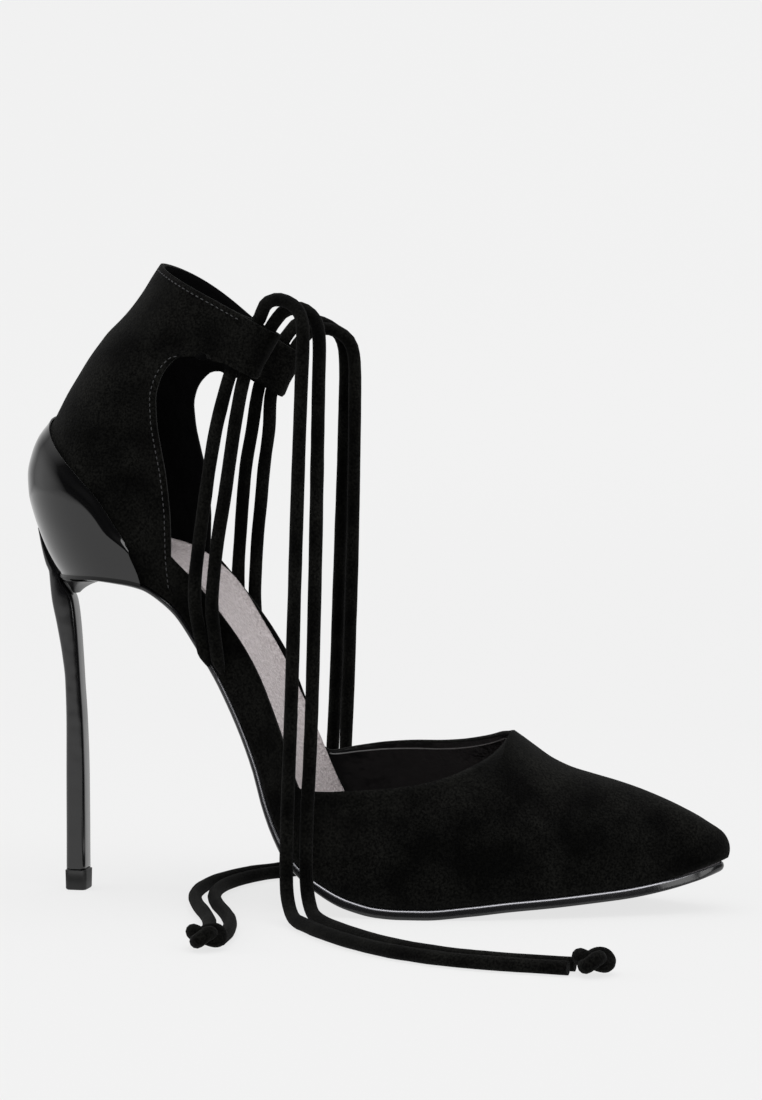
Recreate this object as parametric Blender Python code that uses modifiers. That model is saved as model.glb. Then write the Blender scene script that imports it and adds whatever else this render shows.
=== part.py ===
"""A right lace up heeled sandal: pointed toe, ankle cuff with two lace tabs, stiletto heel.

Frame: metres, +X to the toe, +Y to the inner side of the foot, +Z up. The origin is the
middle of the heel tip's underside, on the floor.
"""
import math

import bmesh
import bpy
import numpy as np
from mathutils import Vector

# Driving dimensions, in metres
TOE_REACH = 0.2055        # heel tip's middle to the point of the toe
HEEL_RISE = 0.0986        # floor to the underside of the seat
TOE_SPRING = 0.0130       # lift of the sole's point off the floor
SEAT_WIDTH = 0.0490
WAIST_WIDTH = 0.0440
BALL_WIDTH = 0.0745
SEAT_ROUND = 0.0240       # depth of the round of the seat, back to front
TOE_ROUND = 0.0080        # depth of the round of the toe point
TOE_BULGE = 0.32          # how far the toe swells out over the sole, as a slope
WALL = 0.0016             # upper with its lining
GAP = 0.0003              # between pieces that touch
COVER_GAP = 0.0005        # between the cover and the upper, two curved skins
BED_GAP = 0.0008          # under the insole, where two curved faces lie together
TOE_OVERHANG = 0.0020     # how far the toe stands out over the sole's tip
TIP_BEVEL = 0.0016        # rounding under the sole's tip
SOLE_THICK = 0.0030       # outsole at the tread
SHANK_THICK = 0.0020
SOLE_BEVEL = 0.0030       # chamfer under the sole's waist
BED_LIFT = 0.0105         # insole's surface over the sole's underside, seat and waist
BALL_LIFT = 0.0065        # the same at the ball and toes
BED_CUP = 0.0022          # how far the insole's edge curls up
SIDE_WALL = 0.0135        # low side wall over the sole's underside
VAMP_TOP = 0.0377         # height of the topline beside the ball
THROAT_RISE = 0.0535
CUFF_RISE = 0.0979        # seat's underside to the cuff's rim at the back
TAB_REACH = 0.0717        # heel tip to the front of the lace tabs
CUFF_WIDTH = 0.0540       # across the two tabs
TAB_DROP = 0.0056         # the inner tab sits this much lower
TAB_SET_BACK = 0.0032     # and this much further back
COVER_THICK = 0.0009      # patent cover on the heel cup
COVER_TOP = 0.0495        # its point at the back over the seat's underside
COVER_REACH = 0.0280      # its lower front corner
COVER_DROP = 0.0013       # how far it laps down over the outsole's edge
STEM_WIDTH = 0.0080
STEM_DEPTH = 0.0064       # front to back, near the tip
FIN_TOP = 0.1210          # top of the fin that runs up the back of the cup
TIP_LENGTH = 0.0068
TIE = 0.0042              # thickness of the suede ties
TIE_KNOT = 0.0125

OUTER, INNER = -1.0, 1.0  # the two sides of the foot along Y

# Underside of the sole on its middle line, heel to toe, and how far the edge stands out.
SOLE_ROWS = [
    # run / TOE_REACH, rise, outer side, inner side
    (-0.0125, HEEL_RISE * 1.002, SEAT_WIDTH * 0.494, SEAT_WIDTH * 0.494),
    (0.058, HEEL_RISE * 1.000, SEAT_WIDTH * 0.500, SEAT_WIDTH * 0.500),
    (0.099, HEEL_RISE * 0.991, SEAT_WIDTH * 0.490, SEAT_WIDTH * 0.490),
    (0.131, HEEL_RISE * 0.975, SEAT_WIDTH * 0.475, SEAT_WIDTH * 0.475),
    (0.157, HEEL_RISE * 0.942, SEAT_WIDTH * 0.462, SEAT_WIDTH * 0.460),
    (0.181, HEEL_RISE * 0.899, WAIST_WIDTH * 0.515, WAIST_WIDTH * 0.510),
    (0.213, HEEL_RISE * 0.799, WAIST_WIDTH * 0.502, WAIST_WIDTH * 0.495),
    (0.242, HEEL_RISE * 0.701, WAIST_WIDTH * 0.500, WAIST_WIDTH * 0.490),
    (0.264, HEEL_RISE * 0.610, WAIST_WIDTH * 0.505, WAIST_WIDTH * 0.495),
    (0.283, HEEL_RISE * 0.523, WAIST_WIDTH * 0.520, WAIST_WIDTH * 0.510),
    (0.303, HEEL_RISE * 0.421, WAIST_WIDTH * 0.560, WAIST_WIDTH * 0.545),
    (0.320, HEEL_RISE * 0.323, BALL_WIDTH * 0.375, BALL_WIDTH * 0.360),
    (0.339, HEEL_RISE * 0.237, BALL_WIDTH * 0.415, BALL_WIDTH * 0.395),
    (0.365, HEEL_RISE * 0.155, BALL_WIDTH * 0.455, BALL_WIDTH * 0.430),
    (0.411, HEEL_RISE * 0.076, BALL_WIDTH * 0.485, BALL_WIDTH * 0.465),
    (0.460, HEEL_RISE * 0.026, BALL_WIDTH * 0.499, BALL_WIDTH * 0.486),
    (0.506, HEEL_RISE * 0.004, BALL_WIDTH * 0.502, BALL_WIDTH * 0.497),
    (0.538, 0.0, BALL_WIDTH * 0.499, BALL_WIDTH * 0.501),
    (0.574, 0.0, BALL_WIDTH * 0.490, BALL_WIDTH * 0.503),
    (0.642, TOE_SPRING * 0.09, BALL_WIDTH * 0.455, BALL_WIDTH * 0.485),
    (0.696, TOE_SPRING * 0.18, BALL_WIDTH * 0.410, BALL_WIDTH * 0.450),
    (0.754, TOE_SPRING * 0.25, BALL_WIDTH * 0.352, BALL_WIDTH * 0.400),
    (0.808, TOE_SPRING * 0.33, BALL_WIDTH * 0.290, BALL_WIDTH * 0.340),
    (0.861, TOE_SPRING * 0.42, BALL_WIDTH * 0.225, BALL_WIDTH * 0.275),
    (0.920, TOE_SPRING * 0.60, BALL_WIDTH * 0.150, BALL_WIDTH * 0.200),
    (0.959, TOE_SPRING * 0.77, BALL_WIDTH * 0.100, BALL_WIDTH * 0.150),
    (1.002, TOE_SPRING * 1.00, BALL_WIDTH * 0.056, BALL_WIDTH * 0.106),
]
# Top edge of the low side walls, then the vamp's topline up to the throat, on each side.
# foot: where the section leaves the sole, as a share of TOE_REACH; lean: how far the wall
# leans inward at its edge, in degrees from upright.
EDGE_ROWS = {
    OUTER: [
        # foot, run / TOE_REACH, rise, stand out, lean
        (0.176, 0.180, HEEL_RISE + SIDE_WALL * 0.60, WAIST_WIDTH * 0.545, 0),
        (0.192, 0.205, HEEL_RISE + SIDE_WALL * 0.21, WAIST_WIDTH * 0.530, 0),
        (0.215, 0.247, HEEL_RISE * 0.926, WAIST_WIDTH * 0.517, 0),
        (0.244, 0.287, HEEL_RISE * 0.812, WAIST_WIDTH * 0.510, 0),
        (0.268, 0.310, HEEL_RISE * 0.727, WAIST_WIDTH * 0.515, 0),
        (0.288, 0.328, HEEL_RISE * 0.640, WAIST_WIDTH * 0.540, 2),
        (0.304, 0.343, HEEL_RISE * 0.565, WAIST_WIDTH * 0.575, 3),
        (0.320, 0.360, HEEL_RISE * 0.480, WAIST_WIDTH * 0.625, 4),
        (0.340, 0.385, VAMP_TOP * 0.985, BALL_WIDTH * 0.405, 6),
        (0.375, 0.420, VAMP_TOP * 0.985, BALL_WIDTH * 0.425, 10),
        (0.420, 0.462, VAMP_TOP * 1.000, BALL_WIDTH * 0.430, 14),
        (0.470, 0.503, VAMP_TOP * 1.016, BALL_WIDTH * 0.425, 18),
        (0.520, 0.545, VAMP_TOP * 1.040, BALL_WIDTH * 0.402, 25),
        (0.560, 0.579, VAMP_TOP * 1.075, BALL_WIDTH * 0.372, 33),
        (0.592, 0.606, VAMP_TOP * 1.120, BALL_WIDTH * 0.328, 42),
        (0.622, 0.631, VAMP_TOP * 1.180, BALL_WIDTH * 0.268, 52),
        (0.650, 0.653, VAMP_TOP * 1.250, BALL_WIDTH * 0.190, 64),
        (0.672, 0.668, THROAT_RISE * 0.945, BALL_WIDTH * 0.095, 76),
        (0.684, 0.674, THROAT_RISE, 0.0, 88),
    ],
    INNER: [
        (0.176, 0.180, HEEL_RISE + SIDE_WALL * 0.60, WAIST_WIDTH * 0.545, 0),
        (0.192, 0.205, HEEL_RISE + SIDE_WALL * 0.21, WAIST_WIDTH * 0.530, 0),
        (0.215, 0.247, HEEL_RISE * 0.926, WAIST_WIDTH * 0.515, 0),
        (0.244, 0.287, HEEL_RISE * 0.812, WAIST_WIDTH * 0.505, 0),
        (0.268, 0.310, HEEL_RISE * 0.727, WAIST_WIDTH * 0.510, 0),
        (0.288, 0.328, HEEL_RISE * 0.625, WAIST_WIDTH * 0.535, 2),
        (0.304, 0.341, HEEL_RISE * 0.540, WAIST_WIDTH * 0.570, 3),
        (0.320, 0.353, HEEL_RISE * 0.455, WAIST_WIDTH * 0.610, 4),
        (0.340, 0.367, VAMP_TOP * 1.130, BALL_WIDTH * 0.385, 7),
        (0.375, 0.408, VAMP_TOP * 1.168, BALL_WIDTH * 0.410, 12),
        (0.420, 0.452, VAMP_TOP * 1.204, BALL_WIDTH * 0.418, 17),
        (0.470, 0.497, VAMP_TOP * 1.225, BALL_WIDTH * 0.408, 23),
        (0.520, 0.538, VAMP_TOP * 1.235, BALL_WIDTH * 0.382, 31),
        (0.560, 0.575, VAMP_TOP * 1.258, BALL_WIDTH * 0.340, 39),
        (0.592, 0.603, VAMP_TOP * 1.290, BALL_WIDTH * 0.290, 48),
        (0.622, 0.629, VAMP_TOP * 1.330, BALL_WIDTH * 0.225, 58),
        (0.650, 0.651, VAMP_TOP * 1.375, BALL_WIDTH * 0.150, 68),
        (0.672, 0.667, THROAT_RISE * 0.985, BALL_WIDTH * 0.075, 78),
        (0.684, 0.674, THROAT_RISE, 0.0, 88),
    ],
}
# Ridge of the closed toe, from the throat down to the point.
RIDGE_ROWS = [
    # foot, run / TOE_REACH, rise / THROAT_RISE
    (0.684, 0.674, 1.000),
    (0.708, 0.701, 0.925),
    (0.736, 0.731, 0.845),
    (0.766, 0.762, 0.790),
    (0.800, 0.795, 0.755),
    (0.834, 0.828, 0.722),
    (0.868, 0.861, 0.683),
    (0.902, 0.893, 0.637),
    (0.935, 0.921, 0.590),
    (0.965, 0.946, 0.540),
    (0.985, 0.963, 0.500),
    (1.002, 0.975, 0.470),
]
# Quarter and cuff, in slanting rows from the feather line to the rim. The back column is
# the heel curve, the front column the edge of the cut-out and then of the lace tab.
QUARTER_ROWS = [
    # back run / TAB_REACH, back rise / CUFF_RISE, front run, front rise,
    # half breadth / CUFF_WIDTH at the side and at the front, depth of the heel's round
    (-0.036, 0.020, 0.510, -0.070, 0.448, 0.425, 1.00),
    (-0.062, 0.055, 0.512, -0.036, 0.455, 0.430, 1.01),
    (-0.092, 0.098, 0.514, 0.010, 0.464, 0.438, 1.02),
    (-0.122, 0.152, 0.516, 0.060, 0.473, 0.446, 1.03),
    (-0.150, 0.212, 0.518, 0.083, 0.481, 0.455, 1.04),
    (-0.172, 0.275, 0.517, 0.192, 0.485, 0.460, 1.05),
    (-0.176, 0.332, 0.510, 0.262, 0.485, 0.463, 1.05),
    (-0.156, 0.398, 0.497, 0.345, 0.482, 0.465, 1.04),
    (-0.118, 0.458, 0.476, 0.428, 0.477, 0.467, 1.02),
    (-0.070, 0.520, 0.460, 0.506, 0.471, 0.468, 1.00),
    (-0.022, 0.586, 0.457, 0.571, 0.466, 0.470, 0.97),
    (0.030, 0.647, 0.474, 0.627, 0.462, 0.472, 0.95),
    (0.078, 0.702, 0.508, 0.670, 0.460, 0.476, 0.93),
    (0.119, 0.742, 0.562, 0.701, 0.459, 0.480, 0.92),
    (0.162, 0.782, 0.638, 0.705, 0.460, 0.485, 0.91),
    (0.216, 0.821, 0.711, 0.691, 0.461, 0.490, 0.90),
    (0.258, 0.854, 0.779, 0.679, 0.462, 0.494, 0.90),
    (0.300, 0.893, 0.893, 0.634, 0.463, 0.498, 0.89),
    (0.333, 0.927, 0.926, 0.678, 0.464, 0.500, 0.88),
    (0.362, 0.960, 0.963, 0.723, 0.465, 0.500, 0.87),
    (0.400, 1.000, 1.000, 0.768, 0.466, 0.500, 0.86),
]
TAB_ROW = 17              # row that runs along the lower edge of the tab
WALL_ROWS = 4             # rows shared with the low side wall
# Front edge of the patent cover, from its lower corner up to its point at the back.
COVER_ROWS = [
    # run / COVER_REACH, rise / COVER_TOP
    (1.000, 0.000),
    (0.965, 0.052),
    (0.914, 0.152),
    (0.829, 0.248),
    (0.700, 0.368),
    (0.514, 0.525),
    (0.321, 0.648),
    (0.114, 0.768),
    (-0.061, 0.881),
    (-0.200, 1.000),
]
# Side view of the stem: back and front line at each height.
STEM_ROWS = [
    # rise / HEEL_RISE, back / STEM_DEPTH, front / STEM_DEPTH
    (0.066, -0.500, 0.480),
    (0.180, -0.490, 0.480),
    (0.360, -0.485, 0.470),
    (0.530, -0.470, 0.400),
    (0.670, -0.520, 0.270),
    (0.750, -0.660, 0.200),
    (0.850, -0.930, 0.090),
    (0.930, -1.180, -0.080),
]
# Plan of the heel block at each height, from its point on the stem up to the seat.
BLOCK_ROWS = [
    # rise / HEEL_RISE, back, front / TAB_REACH, half breadth / SEAT_WIDTH
    (0.9500, -0.012, 0.009, 0.050),
    (0.9600, -0.018, 0.022, 0.090),
    (0.9740, -0.024, 0.052, 0.150),
    (0.9860, -0.030, 0.098, 0.225),
    (0.9935, -0.034, 0.160, 0.300),
    (0.9965, -0.036, 0.185, 0.330),
]
BLOCK_FRONT = 0.0032      # front of the block where it stands behind the outsole
OUTSOLE_START = 0.0036
# Routes of the four free ties, from the mouth of each tab's tunnel to the floor and along it.
TIE_ROUTES = {
    "tie_outer_front": [
        (0.0693, -0.0231, 0.1776), (0.0725, -0.0242, 0.1809), (0.0768, -0.0262, 0.1821),
        (0.0811, -0.0284, 0.1809), (0.0842, -0.0302, 0.1778), (0.0854, -0.0314, 0.1725),
        (0.0854, -0.0322, 0.1600), (0.0852, -0.0330, 0.1400), (0.0849, -0.0338, 0.1150),
        (0.0845, -0.0346, 0.0900), (0.0841, -0.0358, 0.0650), (0.0837, -0.0374, 0.0460),
        (0.0834, -0.0394, 0.0320), (0.0834, -0.0408, 0.0180), (0.0844, -0.0436, 0.0090),
        (0.0874, -0.0494, 0.0034), (0.0925, -0.0572, 0.0022), (0.1010, -0.0692, 0.0022),
        (0.1120, -0.0820, 0.0022), (0.1260, -0.0938, 0.0022), (0.1420, -0.1020, 0.0022),
        (0.1600, -0.1062, 0.0022), (0.1745, -0.1076, 0.0022),
    ],
    "tie_outer_back": [
        (0.0653, -0.0231, 0.1797), (0.0680, -0.0262, 0.1835), (0.0724, -0.0288, 0.1846),
        (0.0771, -0.0312, 0.1830), (0.0802, -0.0338, 0.1799), (0.0814, -0.0356, 0.1746),
        (0.0812, -0.0368, 0.1600), (0.0806, -0.0378, 0.1380), (0.0800, -0.0386, 0.1150),
        (0.0794, -0.0394, 0.0900), (0.0788, -0.0402, 0.0650), (0.0783, -0.0412, 0.0460),
        (0.0780, -0.0424, 0.0300), (0.0781, -0.0440, 0.0160), (0.0792, -0.0472, 0.0076),
        (0.0826, -0.0540, 0.0028), (0.0882, -0.0628, 0.0022), (0.0972, -0.0752, 0.0022),
        (0.1086, -0.0880, 0.0022), (0.1230, -0.0997, 0.0022), (0.1403, -0.1080, 0.0022),
        (0.1590, -0.1119, 0.0022), (0.1735, -0.1136, 0.0022),
    ],
    "tie_inner_front": [
        (0.0661, 0.0231, 0.1720), (0.0693, 0.0242, 0.1753), (0.0736, 0.0262, 0.1765),
        (0.0779, 0.0284, 0.1753), (0.0810, 0.0302, 0.1722), (0.0822, 0.0314, 0.1670),
        (0.0822, 0.0322, 0.1550), (0.0818, 0.0330, 0.1350), (0.0812, 0.0338, 0.1120),
        (0.0804, 0.0346, 0.0900), (0.0794, 0.0358, 0.0680), (0.0782, 0.0378, 0.0500),
        (0.0772, 0.0398, 0.0360), (0.0760, 0.0410, 0.0220), (0.0740, 0.0420, 0.0110),
        (0.0696, 0.0420, 0.0042), (0.0625, 0.0378, 0.0022), (0.0542, 0.0275, 0.0022),
        (0.0486, 0.0140, 0.0022), (0.0468, -0.0010, 0.0022), (0.0488, -0.0170, 0.0022),
        (0.0538, -0.0325, 0.0022), (0.0600, -0.0470, 0.0022), (0.0655, -0.0620, 0.0022),
        (0.0690, -0.0780, 0.0022), (0.0700, -0.0900, 0.0022),
    ],
    "tie_inner_back": [
        (0.0621, 0.0231, 0.1741), (0.0648, 0.0262, 0.1779), (0.0692, 0.0288, 0.1790),
        (0.0739, 0.0312, 0.1774), (0.0770, 0.0338, 0.1743), (0.0782, 0.0356, 0.1690),
        (0.0780, 0.0368, 0.1550), (0.0772, 0.0378, 0.1340), (0.0762, 0.0386, 0.1120),
        (0.0752, 0.0396, 0.0900), (0.0742, 0.0408, 0.0680), (0.0730, 0.0424, 0.0500),
        (0.0719, 0.0440, 0.0360), (0.0706, 0.0454, 0.0220), (0.0684, 0.0464, 0.0110),
        (0.0636, 0.0458, 0.0042), (0.0564, 0.0402, 0.0022), (0.0486, 0.0290, 0.0022),
        (0.0430, 0.0145, 0.0022), (0.0411, -0.0010, 0.0022), (0.0431, -0.0185, 0.0022),
        (0.0483, -0.0347, 0.0022), (0.0545, -0.0495, 0.0022), (0.0598, -0.0640, 0.0022),
        (0.0632, -0.0790, 0.0022), (0.0642, -0.0905, 0.0022),
    ],
}
KNOTS = {
    "knot_outer": (0.1799, -0.1110, 0.0063),
    "knot_inner": (0.0672, -0.0960, 0.0063),
}
# The held stretch of each tie, from the sole's edge up to the tab.
BAR_ROUTES = {
    # run, rise, stand out from the middle line
    "front": [(0.0522, 0.0755, 0.0251), (0.0514, 0.0830, 0.0258), (0.0508, 0.0915, 0.0265),
              (0.0513, 0.1000, 0.0266), (0.0528, 0.1128, 0.0266), (0.0548, 0.1247, 0.0266),
              (0.0567, 0.1374, 0.0266), (0.0587, 0.1500, 0.0266)],
    "back": [(0.0479, 0.0779, 0.0251), (0.0465, 0.0850, 0.0258), (0.0455, 0.0925, 0.0265),
             (0.0456, 0.1005, 0.0266), (0.0472, 0.1135, 0.0266), (0.0489, 0.1255, 0.0266),
             (0.0509, 0.1385, 0.0266), (0.0530, 0.1490, 0.0266)],
}


def smooth(knots, values, at):
    """Curve through a table's rows that never swings past them."""
    knots, values = np.asarray(knots, float), np.asarray(values, float)
    step = np.diff(knots)
    slope = np.diff(values) / step
    tangent = np.concatenate([slope[:1], np.zeros(len(slope) - 1), slope[-1:]])
    for i in range(1, len(slope)):
        if slope[i - 1] * slope[i] > 0:
            before, after = 2 * step[i] + step[i - 1], step[i] + 2 * step[i - 1]
            tangent[i] = (before + after) / (before / slope[i - 1] + after / slope[i])
    i = int(np.clip(np.searchsorted(knots, at) - 1, 0, len(step) - 1))
    t = (np.clip(at, knots[0], knots[-1]) - knots[i]) / step[i]
    return (values[i] * (1 + 2 * t) * (1 - t) ** 2 + tangent[i] * step[i] * t * (1 - t) ** 2
            + values[i + 1] * t * t * (3 - 2 * t) - tangent[i + 1] * step[i] * t * t * (1 - t))


def ease(t):
    """0 to 1 with a soft start and end."""
    t = min(max(t, 0.0), 1.0)
    return t * t * (3 - 2 * t)


def round_end(depth, radius):
    """Breadth of a round end, as a share, at this depth from the end."""
    left = 1 - min(max(depth / radius, 0.0), 1.0)
    return math.sqrt(max(1 - left * left, 0.0))


SOLE_RUNS = [row[0] * TOE_REACH for row in SOLE_ROWS]
HEEL_END, TOE_END = SOLE_RUNS[0], SOLE_RUNS[-1]


def sole_rise(run):
    """Height of the sole's underside."""
    return float(smooth(SOLE_RUNS, [row[1] for row in SOLE_ROWS], run))


def sole_normal(run):
    """Direction from the underside into the shoe: run and rise."""
    step = 0.0005
    slope = (sole_rise(run + step) - sole_rise(run - step)) / (2 * step)
    length = math.hypot(1.0, slope)
    return -slope / length, 1.0 / length


def half_breadth(run, side):
    """How far the sole's edge stands out at this run."""
    outer = float(smooth(SOLE_RUNS, [row[2] for row in SOLE_ROWS], run))
    inner = float(smooth(SOLE_RUNS, [row[3] for row in SOLE_ROWS], run))
    half, axis = (outer + inner) / 2, (inner - outer) / 2
    heel = round_end((run - HEEL_END), SEAT_ROUND)
    toe = round_end((TOE_END - run), TOE_ROUND)
    return axis + side * half * heel * toe


def rim_point(share, side, inset):
    """Point on the sole's outline, moved inward: run and breadth. Share 0 is the heel."""
    def at(s):
        run = HEEL_END + (TOE_END - HEEL_END) * (1 - math.cos(math.pi * s)) / 2
        return run, half_breadth(run, side)
    run, breadth = at(share)
    step = 0.002
    (r0, b0), (r1, b1) = at(max(share - step, 0.0)), at(min(share + step, 1.0))
    stretch = 1.0 / sole_normal(run)[1]
    along, across = (r1 - r0) * stretch, b1 - b0
    length = math.hypot(along, across) or 1.0
    if share in (0.0, 1.0):
        along, across = 0.0, (1.0 if share == 0.0 else -1.0) * side * length
    return run + side * across / length * inset / stretch, breadth - side * along / length * inset


def share_of(run):
    """Share along the outline that reaches this run."""
    return math.acos(1 - 2 * (run - HEEL_END) / (TOE_END - HEEL_END)) / math.pi


def over_sole(run, breadth, lift):
    """Point at this lift over the sole's underside."""
    along, up = sole_normal(min(max(run, HEEL_END + 0.002), TOE_END))
    return Vector((run + along * lift, breadth, sole_rise(run) + up * lift))


def sole_thickness(run):
    return float(smooth([HEEL_END, 0.055, 0.095, TOE_END],
                        [SHANK_THICK, SHANK_THICK, SOLE_THICK, SOLE_THICK], run))


def feather(side, foot):
    """Where the upper meets the sole."""
    run = min(foot * TOE_REACH, TOE_END)
    run, breadth = rim_point(share_of(run), side, GAP)
    return over_sole(run, breadth, sole_thickness(run) + GAP)


def edge(side, foot):
    """Top of the wall over a foot point: place and lean, up to the ridge of the closed toe."""
    rows = EDGE_ROWS[side]
    feet = [row[0] for row in rows]
    if foot <= feet[-1]:
        run, rise, out, lean = (float(smooth(feet, [row[i] for row in rows], foot))
                                for i in (1, 2, 3, 4))
        return Vector((run * TOE_REACH, side * out, rise)), lean
    feet = [row[0] for row in RIDGE_ROWS]
    run, rise = (float(smooth(feet, [row[i] for row in RIDGE_ROWS], foot)) for i in (1, 2))
    axis = (half_breadth(min(run * TOE_REACH, TOE_END), INNER)
            + half_breadth(min(run * TOE_REACH, TOE_END), OUTER)) / 2
    return Vector((run * TOE_REACH, axis * ease((foot - 0.684) / 0.1), rise * THROAT_RISE)), 90.0


def wall_point(side, foot, t):
    """Point of the low wall, vamp or toe: t runs from the sole to the top edge."""
    low = feather(side, foot)
    high, lean = edge(side, foot)
    lean = math.radians(lean)
    rise = high - low
    upward = Vector((rise.x, 0, rise.z)).normalized()
    if foot > 0.5:
        upward = upward.lerp(Vector((0, 0, 1)), ease((foot - 0.5) / 0.2)).normalized()
    turn = ease((foot - 0.72) / 0.24)
    inward = Vector((rise.x * turn, high.y - low.y, 0))
    width = inward.length
    inward = inward.normalized() if width > 1e-6 else Vector((1, 0, 0))
    height = rise.dot(upward)
    flare = 0.10 * ease((foot - 0.30) / 0.12) + TOE_BULGE * ease((foot - 0.93) / 0.05)
    first = low + (upward - inward * flare).normalized() * height * 0.52
    reach = 0.34 * height * math.cos(lean) + 0.62 * width * math.sin(lean)
    second = high - (upward * math.cos(lean) + inward * math.sin(lean)) * reach
    s = 1 - t
    return low * s ** 3 + first * (3 * s * s * t) + second * (3 * s * t * t) + high * t ** 3


FIRST_FOOT = EDGE_ROWS[OUTER][0][0]
FOLD_RADIUS = TIE / 2 + GAP + WALL
ARC_SHARE = 0.56          # share of a quarter row that goes round the heel


def quarter_columns():
    """The quarter's table in metres, with the fold's radius kept free at the tab rows."""
    rows = []
    for i, (bx, bz, fx, fz, side_half, front_half, depth) in enumerate(QUARTER_ROWS):
        back = (bx * TAB_REACH, HEEL_RISE + bz * CUFF_RISE)
        front = (fx * TAB_REACH, HEEL_RISE + fz * CUFF_RISE)
        if i == 0:
            back = (back[0], over_sole(back[0], 0, sole_thickness(back[0]) + GAP).z)
        if i >= TAB_ROW:
            length = math.hypot(front[0] - back[0], front[1] - back[1])
            front = tuple(f - (f - b) * FOLD_RADIUS / length for f, b in zip(front, back))
        rows.append((*back, *front, side_half * CUFF_WIDTH, front_half * CUFF_WIDTH,
                     depth * SEAT_ROUND))
    return np.array(rows)


QUARTER = quarter_columns()
TOP_ROW = len(QUARTER_ROWS) - 1


def feather_sag(share):
    """How far the feather line rises over the straight line between its ends."""
    start, end = QUARTER[0, 0], FIRST_FOOT * TOE_REACH

    def line(run):
        return over_sole(run, 0, sole_thickness(run) + GAP).z
    run = start + (end - start) * share
    return line(run) - line(start) - (line(end) - line(start)) * share


def quarter_spot(row, q, side):
    """Point of the quarter's and cuff's outer face. q: 0 at the heel, 1 at the front edge."""
    bx, bz, fx, fz, side_half, front_half, depth = (
        float(smooth(range(TOP_ROW + 1), QUARTER[:, i], row)) for i in range(7))
    if row <= WALL_ROWS:
        front = wall_point(side, FIRST_FOOT, row / WALL_ROWS)
        fx, fz, front_half = front.x, front.z, abs(front.y)
    elif row < WALL_ROWS + 1:
        front = wall_point(side, FIRST_FOOT, 1.0)
        part = row - WALL_ROWS
        fx, fz, front_half = (a + (b - a) * part for a, b in zip(
            (front.x, front.z, abs(front.y)), QUARTER[WALL_ROWS + 1, [2, 3, 5]]))
    length = fx - bx
    if q < ARC_SHARE:
        angle = q / ARC_SHARE * math.pi / 2
        gone, out = depth * (1 - math.cos(angle)), side_half * math.sin(angle)
    else:
        part = (q - ARC_SHARE) / (1 - ARC_SHARE)
        gone = depth + (length - depth) * part
        out = side_half + (front_half - side_half) * ease(part)
    share = gone / length
    fade = max(1 - row / 9.0, 0.0) ** 1.5
    x, z = bx + gone, bz + (fz - bz) * share + feather_sag(share) * fade
    if side == INNER:
        twist = ease(share) * ease((row - WALL_ROWS) / (TAB_ROW - WALL_ROWS))
        x, z = x - TAB_SET_BACK * twist, z - TAB_DROP * twist
    return Vector((x, side * out, z))


def quarter_point(row, q, side, out=0.0):
    """The same, moved outward by `out` along the face's normal."""
    place = quarter_spot(row, q, side)
    if out == 0.0:
        return place
    step = 0.02
    q0, q1 = max(q - step, 0.0), min(q + step, 1.0)
    r0, r1 = max(row - step, 0.0), min(row + step, float(TOP_ROW))
    along = quarter_spot(row, q1, side) - quarter_spot(row, q0, side)
    up = quarter_spot(r1, q, side) - quarter_spot(r0, q, side)
    if q == 0.0:
        along = Vector((0, side, 0))
    return place + along.cross(up).normalized() * out * -side


def fold_path():
    """The tab's turned-in edge, from the outer layer round the ties and back: (forward, in)."""
    path = [(FOLD_RADIUS * math.sin(a), FOLD_RADIUS * (1 - math.cos(a)))
            for a in (math.pi * i / 6 for i in range(1, 7))]
    spread = TIE + GAP
    closed = 2 * WALL + 2 * GAP
    path += [(-spread * 0.5, 2 * FOLD_RADIUS), (-spread * 1.25, 2 * FOLD_RADIUS),
             (-spread * 1.75, FOLD_RADIUS * 1.85), (-spread * 2.35, closed * 1.08),
             (-spread * 2.9, closed)]
    return path


def fold_point(side, row, forward, inward):
    """Point of the fold, in the slanting plane of one row."""
    base = quarter_point(row, 1.0, side)
    along = base - quarter_point(row, 0.9, side)
    along = Vector((along.x, 0, along.z)).normalized()
    return base + along * forward + Vector((0, -side * inward, 0))


def new_object(name, verts, faces, colour, roughness, metallic=0.0):
    """Welded mesh with its own plain material."""
    mesh = bpy.data.meshes.new(name)
    mesh.from_pydata([tuple(v) for v in verts], [], faces)
    work = bmesh.new()
    work.from_mesh(mesh)
    bmesh.ops.remove_doubles(work, verts=work.verts, dist=2e-6)
    bmesh.ops.dissolve_degenerate(work, edges=work.edges, dist=2e-6)
    if all(edge.is_manifold for edge in work.edges):
        bmesh.ops.recalc_face_normals(work, faces=work.faces)
    work.to_mesh(mesh)
    work.free()
    made = bpy.data.objects.new(name, mesh)
    OBJECT.objects.link(made)
    paint(made, colour, roughness, metallic)
    return made


def paint(made, colour, roughness, metallic=0.0):
    material = bpy.data.materials.new(made.name)
    material.use_nodes = True
    shader = material.node_tree.nodes["Principled BSDF"]
    shader.inputs["Base Color"].default_value = (*colour, 1.0)
    shader.inputs["Roughness"].default_value = roughness
    shader.inputs["Metallic"].default_value = metallic
    made.data.materials.append(material)


def grid(verts, faces, columns, flip=False):
    """Faces between neighbouring columns of points; flip turns them over."""
    start = len(verts)
    height = len(columns[0])
    for column in columns:
        verts.extend(column)
    for i in range(len(columns) - 1):
        for k in range(height - 1):
            a = start + i * height + k
            quad = (a, a + height, a + height + 1, a + 1)
            faces.append(quad[::-1] if flip else quad)


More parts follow.
